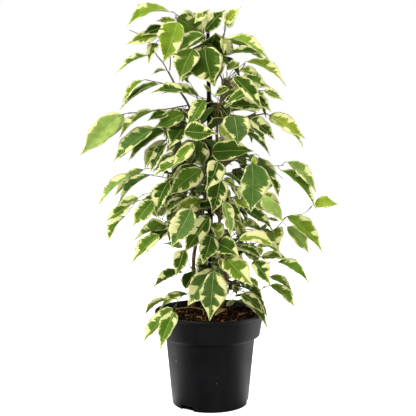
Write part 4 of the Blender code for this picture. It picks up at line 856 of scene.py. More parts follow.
def leaf_material(look):
    """A variegated blade: green that breaks up in feathers along the side veins into cream."""
    paint = Paint("variegated_leaf", 0.4, 0.045)
    across, forward, seed = paint.parts(paint.attribute("blade_place", "Vector"))
    edge, under = paint.attribute("blade_edge"), paint.attribute("blade_under")
    green = paint.attribute("blade_green", "Color")
    cream_share = paint.attribute("blade_green", "Alpha")
    out = abs(across)
    # Along a side vein this stays the same
    vein = forward - out * 0.5
    own = seed * 17.3 + across.maths("SIGN") * 3.7
    feathers = paint.grain(paint.vector(vein * 0.37, 0.0, own), 1.0, 3.0, 0.7)
    patches = paint.grain(paint.vector(vein * 0.055, 9.0, own), 1.0, 1.0, 0.4)
    blotches = paint.grain(paint.vector(vein * 0.3, out * 0.09, own + 40.0), 1.0, 1.0)
    soft = paint.grain(paint.vector(across * 0.1, forward * 0.1, seed), 1.0)
    # The cream's width in millimetres: a rim, patches that may reach the midrib, and teeth
    half = edge + out
    margin = half * cream_share * patches.ramp(0.465, 0.66, 0.24, 2.5)
    margin = margin * feathers.ramp(0.3, 0.7, 0.6, 1.2) + cream_share.ramp(0.0, 0.15, 0.25, 0.95)
    margin = feathers.ramp(0.4, 0.62, -0.6, 1.4) * cream_share.ramp(0.02, 0.3) + margin
    margin = margin.maths("MINIMUM", half * cream_share.ramp(0.3, 0.9, 0.68, 1.1))
    inside = edge - margin
    grey_mask = (inside - margin * 0.75).ramp(0.3, -0.3) * blotches.ramp(0.45, 0.56)
    darker = paint.add("ShaderNodeHueSaturation", Value=0.75, Color=green)
    colour = paint.mixed(soft.ramp(0.3, 0.7), green, darker)
    colour = paint.mixed(grey_mask * 0.4, colour, paint.mixed(0.4, green, GREY_GREEN))
    cream = paint.mixed(inside.ramp(-2.2, 0.2), look.cream, RIM_CREAM)
    colour = paint.mixed(inside.ramp(0.25, -0.25), colour, cream)
    # The pale midrib and the fainter side veins
    midrib = (out - (forward.ramp(0, 60) * -0.2 + 0.38)).ramp(0.25, -0.2)
    step = abs((vein / 3.3).maths("FRACT") - 0.5)
    side_vein = step.ramp(0.42, 0.5) * edge.ramp(0.3, 2.0)
    colour = paint.mixed(side_vein * 0.15, colour, VEIN_GREEN)
    colour = paint.mixed(midrib * 0.62, colour, MIDRIB_GREEN)
    colour = paint.mixed(under, colour, paint.mixed(0.16, colour, UNDER_GREEN))
    paint.set(
        Roughness=under.ramp(0, 1, look.gloss_roughness, 0.62), Subsurface_Weight=look.glow,
        Subsurface_Radius=(0.6, 1.0, 0.25), Subsurface_Scale=0.8 * MM,
    )
    relief = midrib.maths("MAXIMUM", side_vein * 0.6) * -1.0 + soft * 0.5
    return paint.done(colour, relief, 0.25 * MM, 0.7)


def bark_material(look):
    """Brown bark that turns green where the wood is young, with pale pores."""
    paint = Paint("fig_bark", 0.7, 0.3)
    tall = paint.stretched(0.22)
    age = paint.attribute("wood_age")
    streaks = paint.grain(tall, 900, 3.0, 0.6)
    patches = paint.grain(paint.here, 90)
    old = paint.mixed(streaks.ramp(0.35, 0.65), look.bark_dark, look.bark_light)
    old = paint.mixed(patches.ramp(0.5, 0.7, 0, 0.5), old, OLIVE_BARK)
    young = paint.mixed(patches.ramp(0.4, 0.6), *YOUNG_BARK)
    colour = paint.mixed(age.ramp(0.35, 1.0), young, old)
    pore = paint.dots(tall, 420.0, 0.22, 0.1) * age.ramp(0.5, 0.9)
    colour = paint.mixed(pore * 0.5, colour, PORE_BROWN)
    paint.set(Roughness=streaks.ramp(0.3, 0.7, 0.55, 0.85))
    return paint.done(colour, streaks * 0.6 + pore, 0.3 * MM, 0.8)


def pot_material(look):
    """Satin black moulded plastic: fine vertical drag marks, painted soft highlight streaks, scuffs
    and a few specks of dust.
    """
    paint = Paint("pot_plastic_satin", 0.42, 0.25)
    drag = paint.grain(paint.stretched(0.05), 260, 4.0, 0.65)
    cloud = paint.grain(paint.here, 26, 3.0, 0.55)
    scuffs = paint.grain(paint.stretched(4), 60, 5.0, 0.7)
    highlight_streak = paint.grain(paint.stretched(0.08), 38)
    rare = paint.grain(paint.here, 34, 1.0).ramp(0.60, 0.64)
    speck = paint.dots(paint.here, 62.0, 0.075, 0.04) * rare
    greyer = [value * 1.6 + 0.001 for value in look.pot_black]
    colour = paint.mixed(cloud.ramp(0.35, 0.7), look.pot_black, greyer)
    # Lighter vertical streaks: painted soft highlights, as if reflected along the wall
    colour = paint.mixed(highlight_streak.ramp(0.4, 0.62, 0, 0.6), colour, STREAK_HIGHLIGHT_GREY)
    colour = paint.mixed(scuffs.ramp(0.62, 0.75) * 0.35, colour, SCUFF_GREY)
    colour = paint.mixed(speck * 0.8, colour, DUST)
    roughness = cloud.ramp(0.3, 0.7, 0.33, 0.43) + drag.ramp(0.35, 0.65, -0.04, 0.06)
    paint.set(Roughness=roughness + speck * 0.3)
    return paint.done(colour, drag * 0.5 + scuffs * 0.35, 0.12 * MM, 0.6)


def stake_material(look):
    """Dull black plastic with drawn lines along it."""
    paint = Paint("stake_plastic_dull", 0.5, 0.08)
    drawn = paint.grain(paint.stretched(0.02), 900, 3.0, 0.6)
    cloud = paint.grain(paint.here, 60)
    colour = paint.mixed(cloud.ramp(0.4, 0.7), look.stake_black, STAKE_GREY)
    paint.set(Roughness=drawn.ramp(0.3, 0.7, 0.42, 0.6))
    return paint.done(colour, drawn, 0.1 * MM, 0.6)


def soil_material(look):
    """Dark damp peat with fine fibres and paler grit, darkened to paint the leaves' shade."""
    paint = Paint("peat", 0.95, 0.02)
    lumps = paint.grain(paint.here, 260, 4.0, 0.65)
    fibres = paint.grain(paint.here, 700, 2.0, 0.6, 1.4)
    grit = paint.dots(paint.here, 430.0, 0.13, 0.08, 0, 0.4)
    # Darker where the relief is low, and both peats darkened to paint the leaves' shade
    colour = paint.mixed(lumps.ramp(0.35, 0.65), look.shaded_soil_dark, look.shaded_soil_light)
    colour = paint.mixed(fibres.ramp(0.6, 0.7, 0, 0.5), colour, FIBRE_BROWN)
    colour = paint.mixed(grit, colour, GRIT)
    paint.set(Roughness=lumps.ramp(0.3, 0.7, 0.85, 1.0))
    return paint.done(colour, lumps + fibres, 1.2 * MM, 1.0)


def chip_material(look):
    """Bark chips: from near black to reddish brown, chip by chip, with a split grain."""
    paint = Paint("bark_chips", 0.85, 0.06)
    own = paint.attribute("chip_shade")
    split = paint.grain(paint.here, 800, 3.0, 0.65, 0.6)
    colour = paint.mixed(own.ramp(0.7, 0.95), look.chip_dark, look.chip_red)
    colour = paint.mixed(split.ramp(0.4, 0.7, 0, 0.6), colour, SPLIT_BROWN)
    paint.set(Roughness=split.ramp(0.3, 0.7, 0.75, 0.95))
    return paint.done(colour, split, 0.5 * MM, 1.0)


def dry_leaf_material(look):
    """A fallen leaf: dry yellow brown with darker spots."""
    paint = Paint("dry_leaf", 0.75, 0.25)
    spots = paint.grain(paint.here, 330, 3.0, 0.6)
    colour = paint.mixed(spots.ramp(0.4, 0.65), *DRY_LEAF)
    return paint.done(colour, spots, 0.4 * MM, 0.8)


def floor_material(look):
    """Matt pale studio floor that glows evenly, and in gloss paints the pot's reflections."""
    paint = Paint("studio_floor", 0.9, 0.1)
    tone = look.floor
    colour = paint.mixed(paint.grain(paint.here, 3).ramp(0.3, 0.7), (tone,) * 3, (tone * 0.99,) * 3)
    mirrored = paint.add("ShaderNodeLightPath", output="Is Glossy Ray").ramp(0, 1)
    seen = paint.add("ShaderNodeLightPath", output="Is Camera Ray")
    distance = paint.vector_maths("LENGTH", paint.here, "Value")
    glow = distance.ramp(0.1, 1.6, look.floor_glow_near, look.floor_glow_far)
    glow = glow * seen.ramp(0, 1, look.floor_bounce, 1.0)
    # Painted reflections: in gloss the floor is dark in front of the pot and glows at its sides and
    # behind it
    behind = paint.parts(paint.here)[1] / distance
    beside = behind.ramp(-0.65, 0.15, 0.08, look.floor_mirrored) * behind.ramp(0.1, 0.8, 1.0, 0.35)
    paint.set(
        Base_Color=paint.mixed(mirrored, colour, MIRRORED_FLOOR),
        Emission_Color=(1, 1, 1), Emission_Strength=glow + beside * mirrored,
    )
    return paint.material


def geometry_tree(name, inputs):
    """An empty tree as (its nodes, its inputs by name) from the inputs' (kind, default)."""
    tree = bpy.data.node_groups.new(name, "GeometryNodeTree")
    inputs = {"Geometry": ("Geometry", None), **inputs}
    new_socket = tree.interface.new_socket
    for label, (kind, default) in inputs.items():
        socket = new_socket(label, in_out="INPUT", socket_type=f"NodeSocket{kind}")
        if default is not None:
            socket.default_value = default
    new_socket("Geometry", in_out="OUTPUT", socket_type="NodeSocketGeometry")
    nodes = Nodes(tree)
    given = tree.nodes.new("NodeGroupInput")
    return nodes, {label: Value(nodes, given.outputs[label]) for label in inputs}


def close_tree(nodes, geometry, material):
    """Ends the tree: real geometry of this material."""
    real = nodes.add("GeometryNodeRealizeInstances", Geometry=geometry)
    painted = nodes.add("GeometryNodeSetMaterial", Geometry=real, Material=material)
    made = nodes.tree.nodes.new("NodeGroupOutput")
    nodes.link(made.inputs[0], painted)
    return nodes.tree


def wood_tree():
    """Round wood that follows each course of edges, as thick as its points say."""
    nodes, given = geometry_tree("round_wood", {
        "Sides": ("Int", 6), "Material": ("Material", None),
    })
    course = nodes.add("GeometryNodeMeshToCurve", Mesh=given["Geometry"])
    thick = nodes.add("GeometryNodeInputNamedAttribute", {"data_type": "FLOAT"}, Name="wood_radius")
    ring = nodes.add("GeometryNodeCurvePrimitiveCircle", Resolution=given["Sides"], Radius=1.0)
    tube = nodes.add(
        "GeometryNodeCurveToMesh", Curve=course, Profile_Curve=ring, Scale=thick, Fill_Caps=True
    )
    welded = nodes.add("GeometryNodeMergeByDistance", Geometry=tube, Distance=0.005 * MM)
    soft = nodes.add("GeometryNodeSetShadeSmooth", Geometry=welded)
    return close_tree(nodes, soft, given["Material"])


def chip_tree():
    """Chips scattered over a surface, each turned, sized and roughened on its own."""
    nodes, given = geometry_tree("scattered_chips", {
        "Density": ("Float", 20000.0), "Smallest": ("Float", 0.5), "Largest": ("Float", 1.5),
        "Length": ("Float", 5 * MM), "Slimness": ("Float", 0.5), "Flatness": ("Float", 0.35),
        "Tilt": ("Float", 0.5), "Seed": ("Int", 1), "Material": ("Material", None),
    })

    def chance(low, high, seed):
        settings = {"data_type": "FLOAT"}
        return nodes.add("FunctionNodeRandomValue", settings, 1, i2=low, i3=high, Seed=seed)

    spread = nodes.add(
        "GeometryNodeDistributePointsOnFaces", {"distribute_method": "RANDOM"},
        Mesh=given["Geometry"], Density=given["Density"], Seed=given["Seed"],
    )
    length, tilt = given["Length"], given["Tilt"]
    block = nodes.add("GeometryNodeMeshIcoSphere", Radius=0.55, Subdivisions=1)
    size = nodes.vector(length, length * given["Slimness"], length * given["Flatness"])
    shaped = nodes.add("GeometryNodeTransform", Geometry=block, Scale=size)
    low = tilt * -1.0
    angles = nodes.vector(chance(low, tilt, 2), chance(low, tilt, 3), chance(0.0, math.tau, 4))
    chips = nodes.add(
        "GeometryNodeInstanceOnPoints", Points=spread, Instance=shaped, Rotation=angles,
        Scale=chance(given["Smallest"], given["Largest"], 5),
    )
    shaded = nodes.add(
        "GeometryNodeStoreNamedAttribute", {"data_type": "FLOAT", "domain": "INSTANCE"},
        Geometry=chips, Name="chip_shade", Value=chance(0.0, 1.0, 6),
    )
    real = nodes.add("GeometryNodeRealizeInstances", Geometry=shaded)
    rough = nodes.add("ShaderNodeTexNoise", output="Color", Scale=260.0, Detail=1.0)
    centred = nodes.vector_maths("SUBTRACT", rough, i1=(0.5, 0.5, 0.5))
    push = nodes.vector_maths("SCALE", centred, Scale=length * 0.6)
    broken = nodes.add("GeometryNodeSetPosition", Geometry=real, Offset=push)
    return close_tree(nodes, broken, given["Material"])


def new_object(name, mesh, *materials):
    obj = bpy.data.objects.new(name, mesh)
    bpy.context.scene.collection.objects.link(obj)
    for item in materials:
        mesh.materials.append(item)
    return obj


def new_mesh(name, points, edges, faces):
    mesh = bpy.data.meshes.new(name)
    mesh.from_pydata(points, edges, faces)
    return mesh


def store(mesh, name, kind, domain, key, values):
    """Stores a value for each point or face of the mesh."""
    if isinstance(values[0], tuple):
        values = [number for row in values for number in row]
    mesh.attributes.new(name, kind, domain).data.foreach_set(key, values)


def plain_mesh(context, obj):
    """Gives the object its evaluated mesh and takes its modifiers away."""
    graph = context.evaluated_depsgraph_get()
    obj.data = bpy.data.meshes.new_from_object(
        obj.evaluated_get(graph), preserve_all_data_layers=True, depsgraph=graph
    )
    obj.modifiers.clear()
    return obj


def grown(obj, tree, values):
    """The object with this tree's result as its plain mesh."""
    modifier = obj.modifiers.new(tree.name, "NODES")
    modifier.node_group = tree
    for item in tree.interface.items_tree:
        if item.in_out == "INPUT" and item.name in values:
            modifier[item.identifier] = values[item.name]
    return plain_mesh(bpy.context, obj)


def wood(name, courses, sides, bark):
    """Round wood along courses of (points, radii, ages)."""
    points, edges, radii, ages = [], [], [], []
    for course, course_radii, course_ages in courses:
        edges += [(len(points) + i, len(points) + i + 1) for i in range(len(course) - 1)]
        points += course
        radii += course_radii
        ages += course_ages
    mesh = new_mesh(name, points, edges, [])
    store(mesh, "wood_radius", "FLOAT", "POINT", "value", radii)
    store(mesh, "wood_age", "FLOAT", "POINT", "value", ages)
    tree = bpy.data.node_groups.get("round_wood") or wood_tree()
    return grown(new_object(name, mesh), tree, {"Sides": sides, "Material": bark})


# The finished blade: its rows along, its points on each side of the midrib, and its outline
BLADE_ROWS = 15
BLADE_SIDE = 4
BLADE_THICKNESS = 0.5 * MM
EDGE_THINNING = 0.7
MIDRIB_RELIEF = 0.3 * MM
MIDRIB_GROOVE = 0.1 * MM
OUTLINE_SKEW = 0.69
OUTLINE_FULLNESS = 0.75
OUTLINE_TIP = (0.6, 0.32, 0.55)
# How fast each part of a blade's shade and outline changes with its seed, length and side
SHADE_TURN = 91.7
WARMTH_TURN = 57.1
BULGE_TURNS = ((8, 5, 2, 1), (19, 7, 3, 0.6))
RIPPLE_TURNS = (31, 3, 2)
# Stalks: how far the bend lies back from the blade, how straight it is, and how far in and up
# the end lies in the blade, in millimetres
STALK_BACK = 0.45
STALK_STRAIGHTNESS = 0.35
STALK_STEPS = 5
STALK_END = 2.5
STALK_END_RISE = 8
KNOT_EVERY = 5
KNOT_SWELL = 1.22


def outline(t):
    """Half the blade's width at t, as a share of its full width, with its drawn-out tip."""
    start, span, narrowing = OUTLINE_TIP
    body = 0.5 * math.sin(math.pi * t**OUTLINE_SKEW) ** OUTLINE_FULLNESS
    into_tip = min(1, max(0, (t - start) / span))
    return body * (1 - narrowing * into_tip * into_tip * (3 - 2 * into_tip))


def ring_at(t, stations):
    """The frame blade's ring number at t, in between its stations too."""
    marks = [(mark, ring) for ring, mark in enumerate((0, *stations, 1), FIRST_RING - 1)]
    for (t_a, ring_a), (t_b, ring_b) in zip(marks, marks[1:]):
        if t <= t_b:
            return ring_a + (ring_b - ring_a) * (t - t_a) / (t_b - t_a)
    return marks[-1][1]


class LeafMesh:
    """Collects the blades of one shoot."""

    def __init__(self):
        self.points, self.faces = [], []
        self.place, self.edge, self.green, self.under = [], [], [], []

    def add(self, plan, look, seed):
        base, tip, normal, phase = (plan[key] for key in ("base", "tip", "normal", "phase"))
        along = (tip - base).normalized()
        side = along.cross(normal)
        length = (tip - base).length
        shade = 1 + look.variety * math.sin(SHADE_TURN * seed)
        warmth = 0.3 * look.variety * math.sin(WARMTH_TURN * seed)
        red, middle_green, blue = plan["tone"]
        green = (red * (shade + warmth), middle_green * shade, blue * shade, plan["cream"])

        def add_point(t, across, level):
            share = across / BLADE_SIDE
            out = abs(share)
            way = (share > 0) - (share < 0)
            bulge = sum(
                size * math.sin(a * t + b * phase + c * way) for a, b, c, size in BULGE_TURNS
            )
            half = plan["width"] * outline(t) * look.fullness * (1 + look.unevenness * bulge * out)
            twist = Matrix.Rotation(look.twist * math.sin(2 * phase) * (2 * t - 1), 3, along)
            middle = midrib_at(plan, t)
            middle += side * look.sway * length * math.sin(3 * phase) * 4 * t * (1 - t)
            wave = BLADE_WAVE_TURN * ring_at(t, plan["stations"]) + phase + way
            wave = BLADE_WAVE * math.sin(wave) * out**1.5 * math.sin(math.pi * t) ** 0.3
            a, b, c = RIPPLE_TURNS
            ripple = look.ripple * math.sin(a * t + b * phase + c * way) * out**3
            rise = half * math.sin(look.fold) * out**1.1 + wave + ripple * math.sin(math.pi * t)
            thick = 0.5 * BLADE_THICKNESS * (1 - EDGE_THINNING * out**2)
            if across == 0:
                thick += MIDRIB_RELIEF * (1 - t) * (level < 0) - MIDRIB_GROOVE * (level > 0)
            rise += level * thick
            curl = (twist @ side) * share * half * math.cos(look.fold)
            self.points.append(middle + curl + (twist @ normal) * rise)
            self.place.append((share * half / MM, length * t / MM, seed))
            from_tip = length * (1 - t) / MM * 0.25
            self.edge.append(min(half * (1 - out) / MM, from_tip + 0.2))
            self.green.append(green)
            return len(self.points) - 1

        rows = []
        inner = range(1 - BLADE_SIDE, BLADE_SIDE)
        for row in range(1, BLADE_ROWS):
            t = row / BLADE_ROWS
            top = [add_point(t, across, 1) for across in inner]
            left, right = add_point(t, -BLADE_SIDE, 0), add_point(t, BLADE_SIDE, 0)
            low = [add_point(t, across, -1) for across in inner]
            rows.append(([left, *top, right], [left, *low, right]))
        foot, end = add_point(0, 0, 0), add_point(1, 0, 0)
        for level, turn in ((0, 1), (1, -1)):
            faces = []
            for behind, before in zip(rows, rows[1:]):
                near, far = behind[level], before[level]
                faces += zip(near, near[1:], far[1:], far)
            first, last = rows[0][level], rows[-1][level]
            faces += [(foot, b, a) for a, b in zip(first, first[1:])]
            faces += [(a, b, end) for a, b in zip(last, last[1:])]
            self.faces += [corners[::turn] for corners in faces]
            self.under += [float(level)] * len(faces)

    def mesh(self, name):
        mesh = new_mesh(name, self.points, [], self.faces)
        store(mesh, "blade_place", "FLOAT_VECTOR", "POINT", "vector", self.place)
        store(mesh, "blade_edge", "FLOAT", "POINT", "value", self.edge)
        store(mesh, "blade_green", "FLOAT_COLOR", "POINT", "color", self.green)
        store(mesh, "blade_under", "FLOAT", "FACE", "value", self.under)
        mesh.shade_smooth()
        return mesh


def petiole(plan):
    """The stalk's course, curved from the twig into the blade."""
    root, base = plan["root"], plan["base"]
    along = (plan["tip"] - base).normalized()
    bend = base - along * (base - root).length * STALK_BACK
    bend = bend.lerp((root + base) / 2, STALK_STRAIGHTNESS)
    end = base + along * STALK_END * MM + plan["normal"] * plan["arch"] * STALK_END_RISE * MM
    return [*arc(root, bend, base, STALK_STEPS), end]


def shoot_wood(shoot, look):
    """The twigs and stalks of a shoot, as courses of points, radii and ages."""
    courses = []
    for index, twig in enumerate(shoot["twigs"]):
        radius, age = (look.twig_root, 0.9) if index == 0 else (look.twig_end, 0.5)
        course = limb(smooth(twig, 2), (radius, look.twig_end * 0.8), (age, 0.3))
        for knot in range(3, len(course[0]) - 1, KNOT_EVERY):
            course[1][knot] *= KNOT_SWELL
        courses.append(course)
    for plan in shoot["leaves"] + shoot["inner"]:
        points = petiole(plan)
        radii = tapered(look.stalk * 1.15, look.stalk * 0.85, len(points) - 1)
        courses.append((points, [*radii, look.stalk * 0.4], tapered(0.25, 0.0, len(points))))
    return courses


def build_shoot(shoot, look, leaf_look, bark):
    """One piece: the shoot's twigs, stalks and blades."""
    blades = LeafMesh()
    for number, plan in enumerate(shoot["leaves"] + shoot["inner"]):
        seed = (len(shoot["name"]) * 0.37 + number * 1.618 + plan["phase"]) % 10
        blades.add(plan, look, seed)
    leaves = new_object("blades", blades.mesh("blades"), leaf_look)
    twigs = wood("twigs", shoot_wood(shoot, look), 7, bark)
    both = [leaves, twigs]
    with bpy.context.temp_override(
        active_object=leaves, object=leaves, selected_objects=both, selected_editable_objects=both
    ):
        bpy.ops.object.join()
    leaves.name = leaves.data.name = f"leafy_{shoot['name']}"
    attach(leaves, "root")
    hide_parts(f"shoot_{shoot['name']}")


# Inner leaves: how far forward they may hang, how often a place is tried, the twig's length that
# bears the usual number, and between what each leaf's measures lie
INNER_FRONT = -14 * MM
INNER_TRIES = 24
FULL_REACH = 60 * MM
MOST_FOR_REACH = 1.6
INNER_PLACE = (0.12, 0.8)
INNER_BACKWARD = 0.35
INNER_RISE = (-0.2, 0.35)
INNER_ALONG_TWIG = 0.5
INNER_STALK = (7, 13)
INNER_HANG = (0.5, 1.5)
INNER_LENGTH = (34, 52)
INNER_TILT = 0.6
INNER_ROLL = (-0.7, 0.7)
INNER_RATIO = (0.42, 0.5)
INNER_ARCH = (0.04, 0.12)
INNER_CREAM = (0.0, 0.15)
# Inner leaves are mostly of the deepest green, which paints the plant's shaded middle
INNER_TONES = (DEEP_SHADE, DEEP_SHADE, DEEP_SHADE, DEEP_SHADE, DARK, DARK)
# The dense part of the plant in the picture: row, left column, right column
CORE = (
    (44, 200, 222), (66, 204, 228), (70, 240, 258), (98, 240, 262), (104, 205, 268),
    (112, 158, 268), (150, 150, 262), (176, 165, 262), (205, 160, 262), (240, 165, 268),
    (262, 178, 262), (296, 186, 258),
)


def in_core(point):
    """Whether the eye sees the point inside the plant's dense part."""
    ray = point - EYE
    column = PICTURE_MIDDLE + LENS * ray.x / ray.dot(AHEAD)
    row = PICTURE_MIDDLE - LENS * ray.dot(UPWARD) / ray.dot(AHEAD)
    for (row_a, left_a, right_a), (row_b, left_b, right_b) in zip(CORE, CORE[1:]):
        if row_a <= row <= row_b:
            share = (row - row_a) / (row_b - row_a)
            left = left_a + (left_b - left_a) * share
            return left < column < right_a + (right_b - right_a) * share
    return False


def inner_leaves(shoots, look):
    """Adds leaves near the stems, where each has room, for the plant's dense middle."""
    rng = random.Random(look.inner_seed)
    standing = [blade_tree(plan) for shoot in shoots for plan in shoot["leaves"]]
    for shoot in shoots:
        shoot["inner"] = []
        twig = shoot["twigs"][0]
        reach = sum((b - a).length for a, b in zip(twig, twig[1:]))
        for _ in range(round(look.inner_count * min(MOST_FOR_REACH, reach / FULL_REACH))):
            for _ in range(INNER_TRIES):
                plan = inner_leaf(twig, rng)
                if plan["tip"].y < INNER_FRONT:
                    continue
                if not (in_core(plan["base"]) and in_core(plan["tip"])):
                    continue
                tree = blade_tree(plan)
                if not any(touches(tree, other) for other in standing):
                    standing.append(tree)
                    shoot["inner"].append(plan)
                    break


def inner_leaf(twig, rng):
    """A leaf at a chance place on the twig, hanging outwards."""
    at = rng.uniform(*INNER_PLACE) * (len(twig) - 1)
    index = int(at)
    root = twig[index].lerp(twig[index + 1], at - index)
    ahead = (twig[index + 1] - twig[index]).normalized()
    turn = rng.uniform(0, math.tau)
    backward = abs(math.sin(turn)) - INNER_BACKWARD
    out = Vector((math.cos(turn), backward, rng.uniform(*INNER_RISE)))
    out = (out + ahead * INNER_ALONG_TWIG).normalized()
    base = root + out * rng.uniform(*INNER_STALK) * MM
    hang = (out + Vector((0, 0, -rng.uniform(*INNER_HANG)))).normalized()
    length = rng.uniform(*INNER_LENGTH) * MM
    normal = square_to(Vector((0, 0, 1)) + out * INNER_TILT, hang).normalized()
    normal = Matrix.Rotation(rng.uniform(*INNER_ROLL), 3, hang) @ normal
    tone = rng.choice(INNER_TONES)
    return {
        "root": root, "base": base, "tip": base + hang * length, "normal": normal,
        "width": length * rng.uniform(*INNER_RATIO), "arch": rng.uniform(*INNER_ARCH),
        "stations": BLADE_STATIONS, "phase": rng.uniform(0, math.tau),
        "tone": tone, "cream": rng.uniform(*INNER_CREAM),
    }


def blade_tree(plan):
    """A coarse blade for telling what crosses: (lowest corner, highest corner, tree)."""
    side = (plan["tip"] - plan["base"]).normalized().cross(plan["normal"])
    points, faces = [], []
    for t in (0, 0.2, 0.4, 0.6, 0.8, 1):
        half = plan["width"] * outline(t)
        middle = midrib_at(plan, t)
        lift = plan["normal"] * half * math.sin(BLADE_FOLD)
        points += [middle - side * half + lift, middle, middle + side * half + lift]
    for a in range(0, len(points) - 3, 3):
        for b in (a, a + 1):
            faces += [(b, b + 1, b + 4), (b, b + 4, b + 3)]
    low, high = [[end(p[axis] for p in points) for axis in range(3)] for end in (min, max)]
    return low, high, BVHTree.FromPolygons(points, faces)


def touches(one, other):
    """Whether two such blades cross."""
    if any(one[0][i] > other[1][i] or one[1][i] < other[0][i] for i in range(3)):
        return False
    return bool(one[2].overlap(other[2]))


# The share of its faces that an object keeps at least when a notch is cut
LEAST_KEPT = 0.9


def turned(name, profile, steps):
    """A solid turned from a profile that starts and ends on the axis."""
    points, rings, faces = [], [], []
    for radius, height in profile:
        if radius == 0:
            rings.append([len(points)] * steps)
            points.append((0, 0, height))
            continue
        rings.append(list(range(len(points), len(points) + steps)))
        for step in range(steps):
            azimuth = math.tau * step / steps
            points.append((radius * math.cos(azimuth), radius * math.sin(azimuth), height))
    for one, other in zip(rings, rings[1:]):
        for step in range(steps):
            after = (step + 1) % steps
            faces.append(list(dict.fromkeys((one[step], one[after], other[after], other[step]))))
    mesh = new_mesh(name, points, [], faces)
    work = bmesh.new()
    work.from_mesh(mesh)
    bmesh.ops.recalc_face_normals(work, faces=work.faces)
    work.to_mesh(mesh)
    work.free()
    return mesh


def rounded(profile, radius, steps=4):
    """The profile with each inner corner rounded by up to this radius."""
    found = [profile[0]]
    for before, corner, after in zip(profile, profile[1:], profile[2:]):
        here = Vector(corner)
        back, ahead = Vector(before) - here, Vector(after) - here
        size = min(radius, 0.4 * back.length, 0.4 * ahead.length)
        start, end = here + back.normalized() * size, here + ahead.normalized() * size
        found += [tuple(point) for point in arc(start, here, end, steps)]
    return [*found, profile[-1]]


def cut_notches(context, obj, reach):
    """Cuts the foot's notches into the object, this far in and out of the pot's wall."""
    width, height = NOTCH_SIZE
    cutters = []
    for turn in range(NOTCH_COUNT):
        azimuth = NOTCH_AZIMUTH + turn * math.tau / NOTCH_COUNT
        outward = Vector((math.cos(azimuth), math.sin(azimuth), 0))
        bpy.ops.mesh.primitive_cube_add(
            size=1, location=outward * FOOT_RADIUS, rotation=(0, 0, azimuth)
        )
        cutters.append(context.object)
        context.object.scale = (2 * reach, width, height)
        corners = context.object.modifiers.new("corners", "BEVEL")
        corners.width = NOTCH_ROUNDING
        corners.segments = 3
        cut = obj.modifiers.new("notch", "BOOLEAN")
        cut.operation = "DIFFERENCE"
        cut.solver = "EXACT"
        cut.object = context.object
    context.view_layer.update()
    before = len(obj.data.polygons)
    plain_mesh(context, obj)
    for cutter in cutters:
        bpy.data.objects.remove(cutter)
    if len(obj.data.polygons) < LEAST_KEPT * before:
        raise RuntimeError(f"{obj.name} lost its faces to the notches")
    obj.data.shade_smooth()


def crumbly(x, y):
    """The height of the finished soil: the frame's, with lumps and crumbs."""
    wave = math.sin(x / SOIL_WAVES[0] + SOIL_PHASE) * math.cos(y / SOIL_WAVES[1])
    wave += CROSS_SHARE * math.sin((x + y) / CROSS_WAVE + CROSS_PHASE)
    place = Vector((x, y, 0)) / MM
    lumps = sum(noise.noise(place * count) * height for count, height in CRUMBLES)
    return SOIL_HEIGHT + SOIL_BUMP * wave / (1 + CROSS_SHARE) + (lumps + CRUMBLE_LIFT) * MM


def soil_top(radius, rings=22, steps=72):
    """The finished soil's top alone, to scatter on."""
    points, faces = [], []
    for ring in range(rings + 1):
        for step in range(steps):
            azimuth = math.tau * step / steps
            x = radius * ring / rings * math.cos(azimuth)
            y = radius * ring / rings * math.sin(azimuth)
            points.append((x, y, crumbly(x, y)))
            if ring < rings:
                a, b = ring * steps + step, ring * steps + (step + 1) % steps
                faces.append((a, a + steps, b + steps, b))
    return new_mesh("soil_top", points, [], faces)


def on_soil(column, row, above):
    """The point above the soil, this high, that the eye sees at this pixel."""
    near, far = seen_at(column, row, 120), seen_at(column, row, -120)
    return near.lerp(far, (SOIL_HEIGHT + above - near.z) / (far.z - near.z))


def number(name, description, default, **more):
    return FloatProperty(name=name, description=description, default=default, **{"min": 0, **more})


def colour(name, description, default):
    return FloatVectorProperty(
        name=name, description=description, default=default, min=0, max=1, subtype="COLOR"
    )


def length(name, description, default):
    return number(name, description, default, unit="LENGTH", precision=4)


def angle(name, description, degrees):
    return number(name, description, math.radians(degrees), subtype="ANGLE")


def whole(name, description, default, low):
    return IntProperty(name=name, description=description, default=default, min=low)


class FigLeafLook(bpy.types.PropertyGroup):
    """Sizes and colours of the leaves and twigs"""

    cream: colour("Cream", "The blade's cream margin", (0.70, 0.685, 0.32))
    fullness: number("Fullness", "Blade width against the frame's", 1.13, min=0.8, max=1.2)
    fold: angle("Fold", "How far a blade folds up", 24)
    unevenness: number("Unevenness", "How uneven a blade's outline is", 0.06, max=0.2)
    ripple: length("Edge ripple", "How far the blade's edge ripples", 0.7 * MM)
    twist: angle("Twist", "How far a blade's ends twist", 20)
    sway: number("Sway", "How far a blade curves sideways", 0.035, max=0.2)
    variety: number("Variety", "How much the green differs from leaf to leaf", 0.16, max=0.5)
    gloss_roughness: number("Upper roughness", "Roughness of the upper face", 0.42, max=1)
    glow: number("Glow", "How much light passes through a blade", 0.15, max=1)
    stalk: length("Stalk radius", "Radius of a leaf's stalk", 0.5 * MM)
    twig_root: length("Twig radius", "Radius of a twig where it leaves its stem", 0.95 * MM)
    twig_end: length("Twig end radius", "Radius of a twig's end", 0.55 * MM)
    inner_count: number("Inner leaves", "Leaves near the stem for each shoot", 2.4, max=12)
    inner_seed: whole("Inner seed", "Which inner leaves grow", 5, 0)


class FigWoodLook(bpy.types.PropertyGroup):
    """Colours of the bark and the stake"""

    bark_dark: colour("Dark bark", "Bark in its furrows", (0.055, 0.026, 0.013))
    bark_light: colour("Light bark", "Bark on its ridges", (0.29, 0.135, 0.06))
    stake_black: colour("Stake", "The stake's plastic", (0.002, 0.002, 0.002))
    knot: number("Knots", "How much a stem swells at its leaf scars", 0.12, max=0.5)
    slimness: number("Slim end", "A stem's upper end against the frame's", 0.7, min=0.4, max=1)


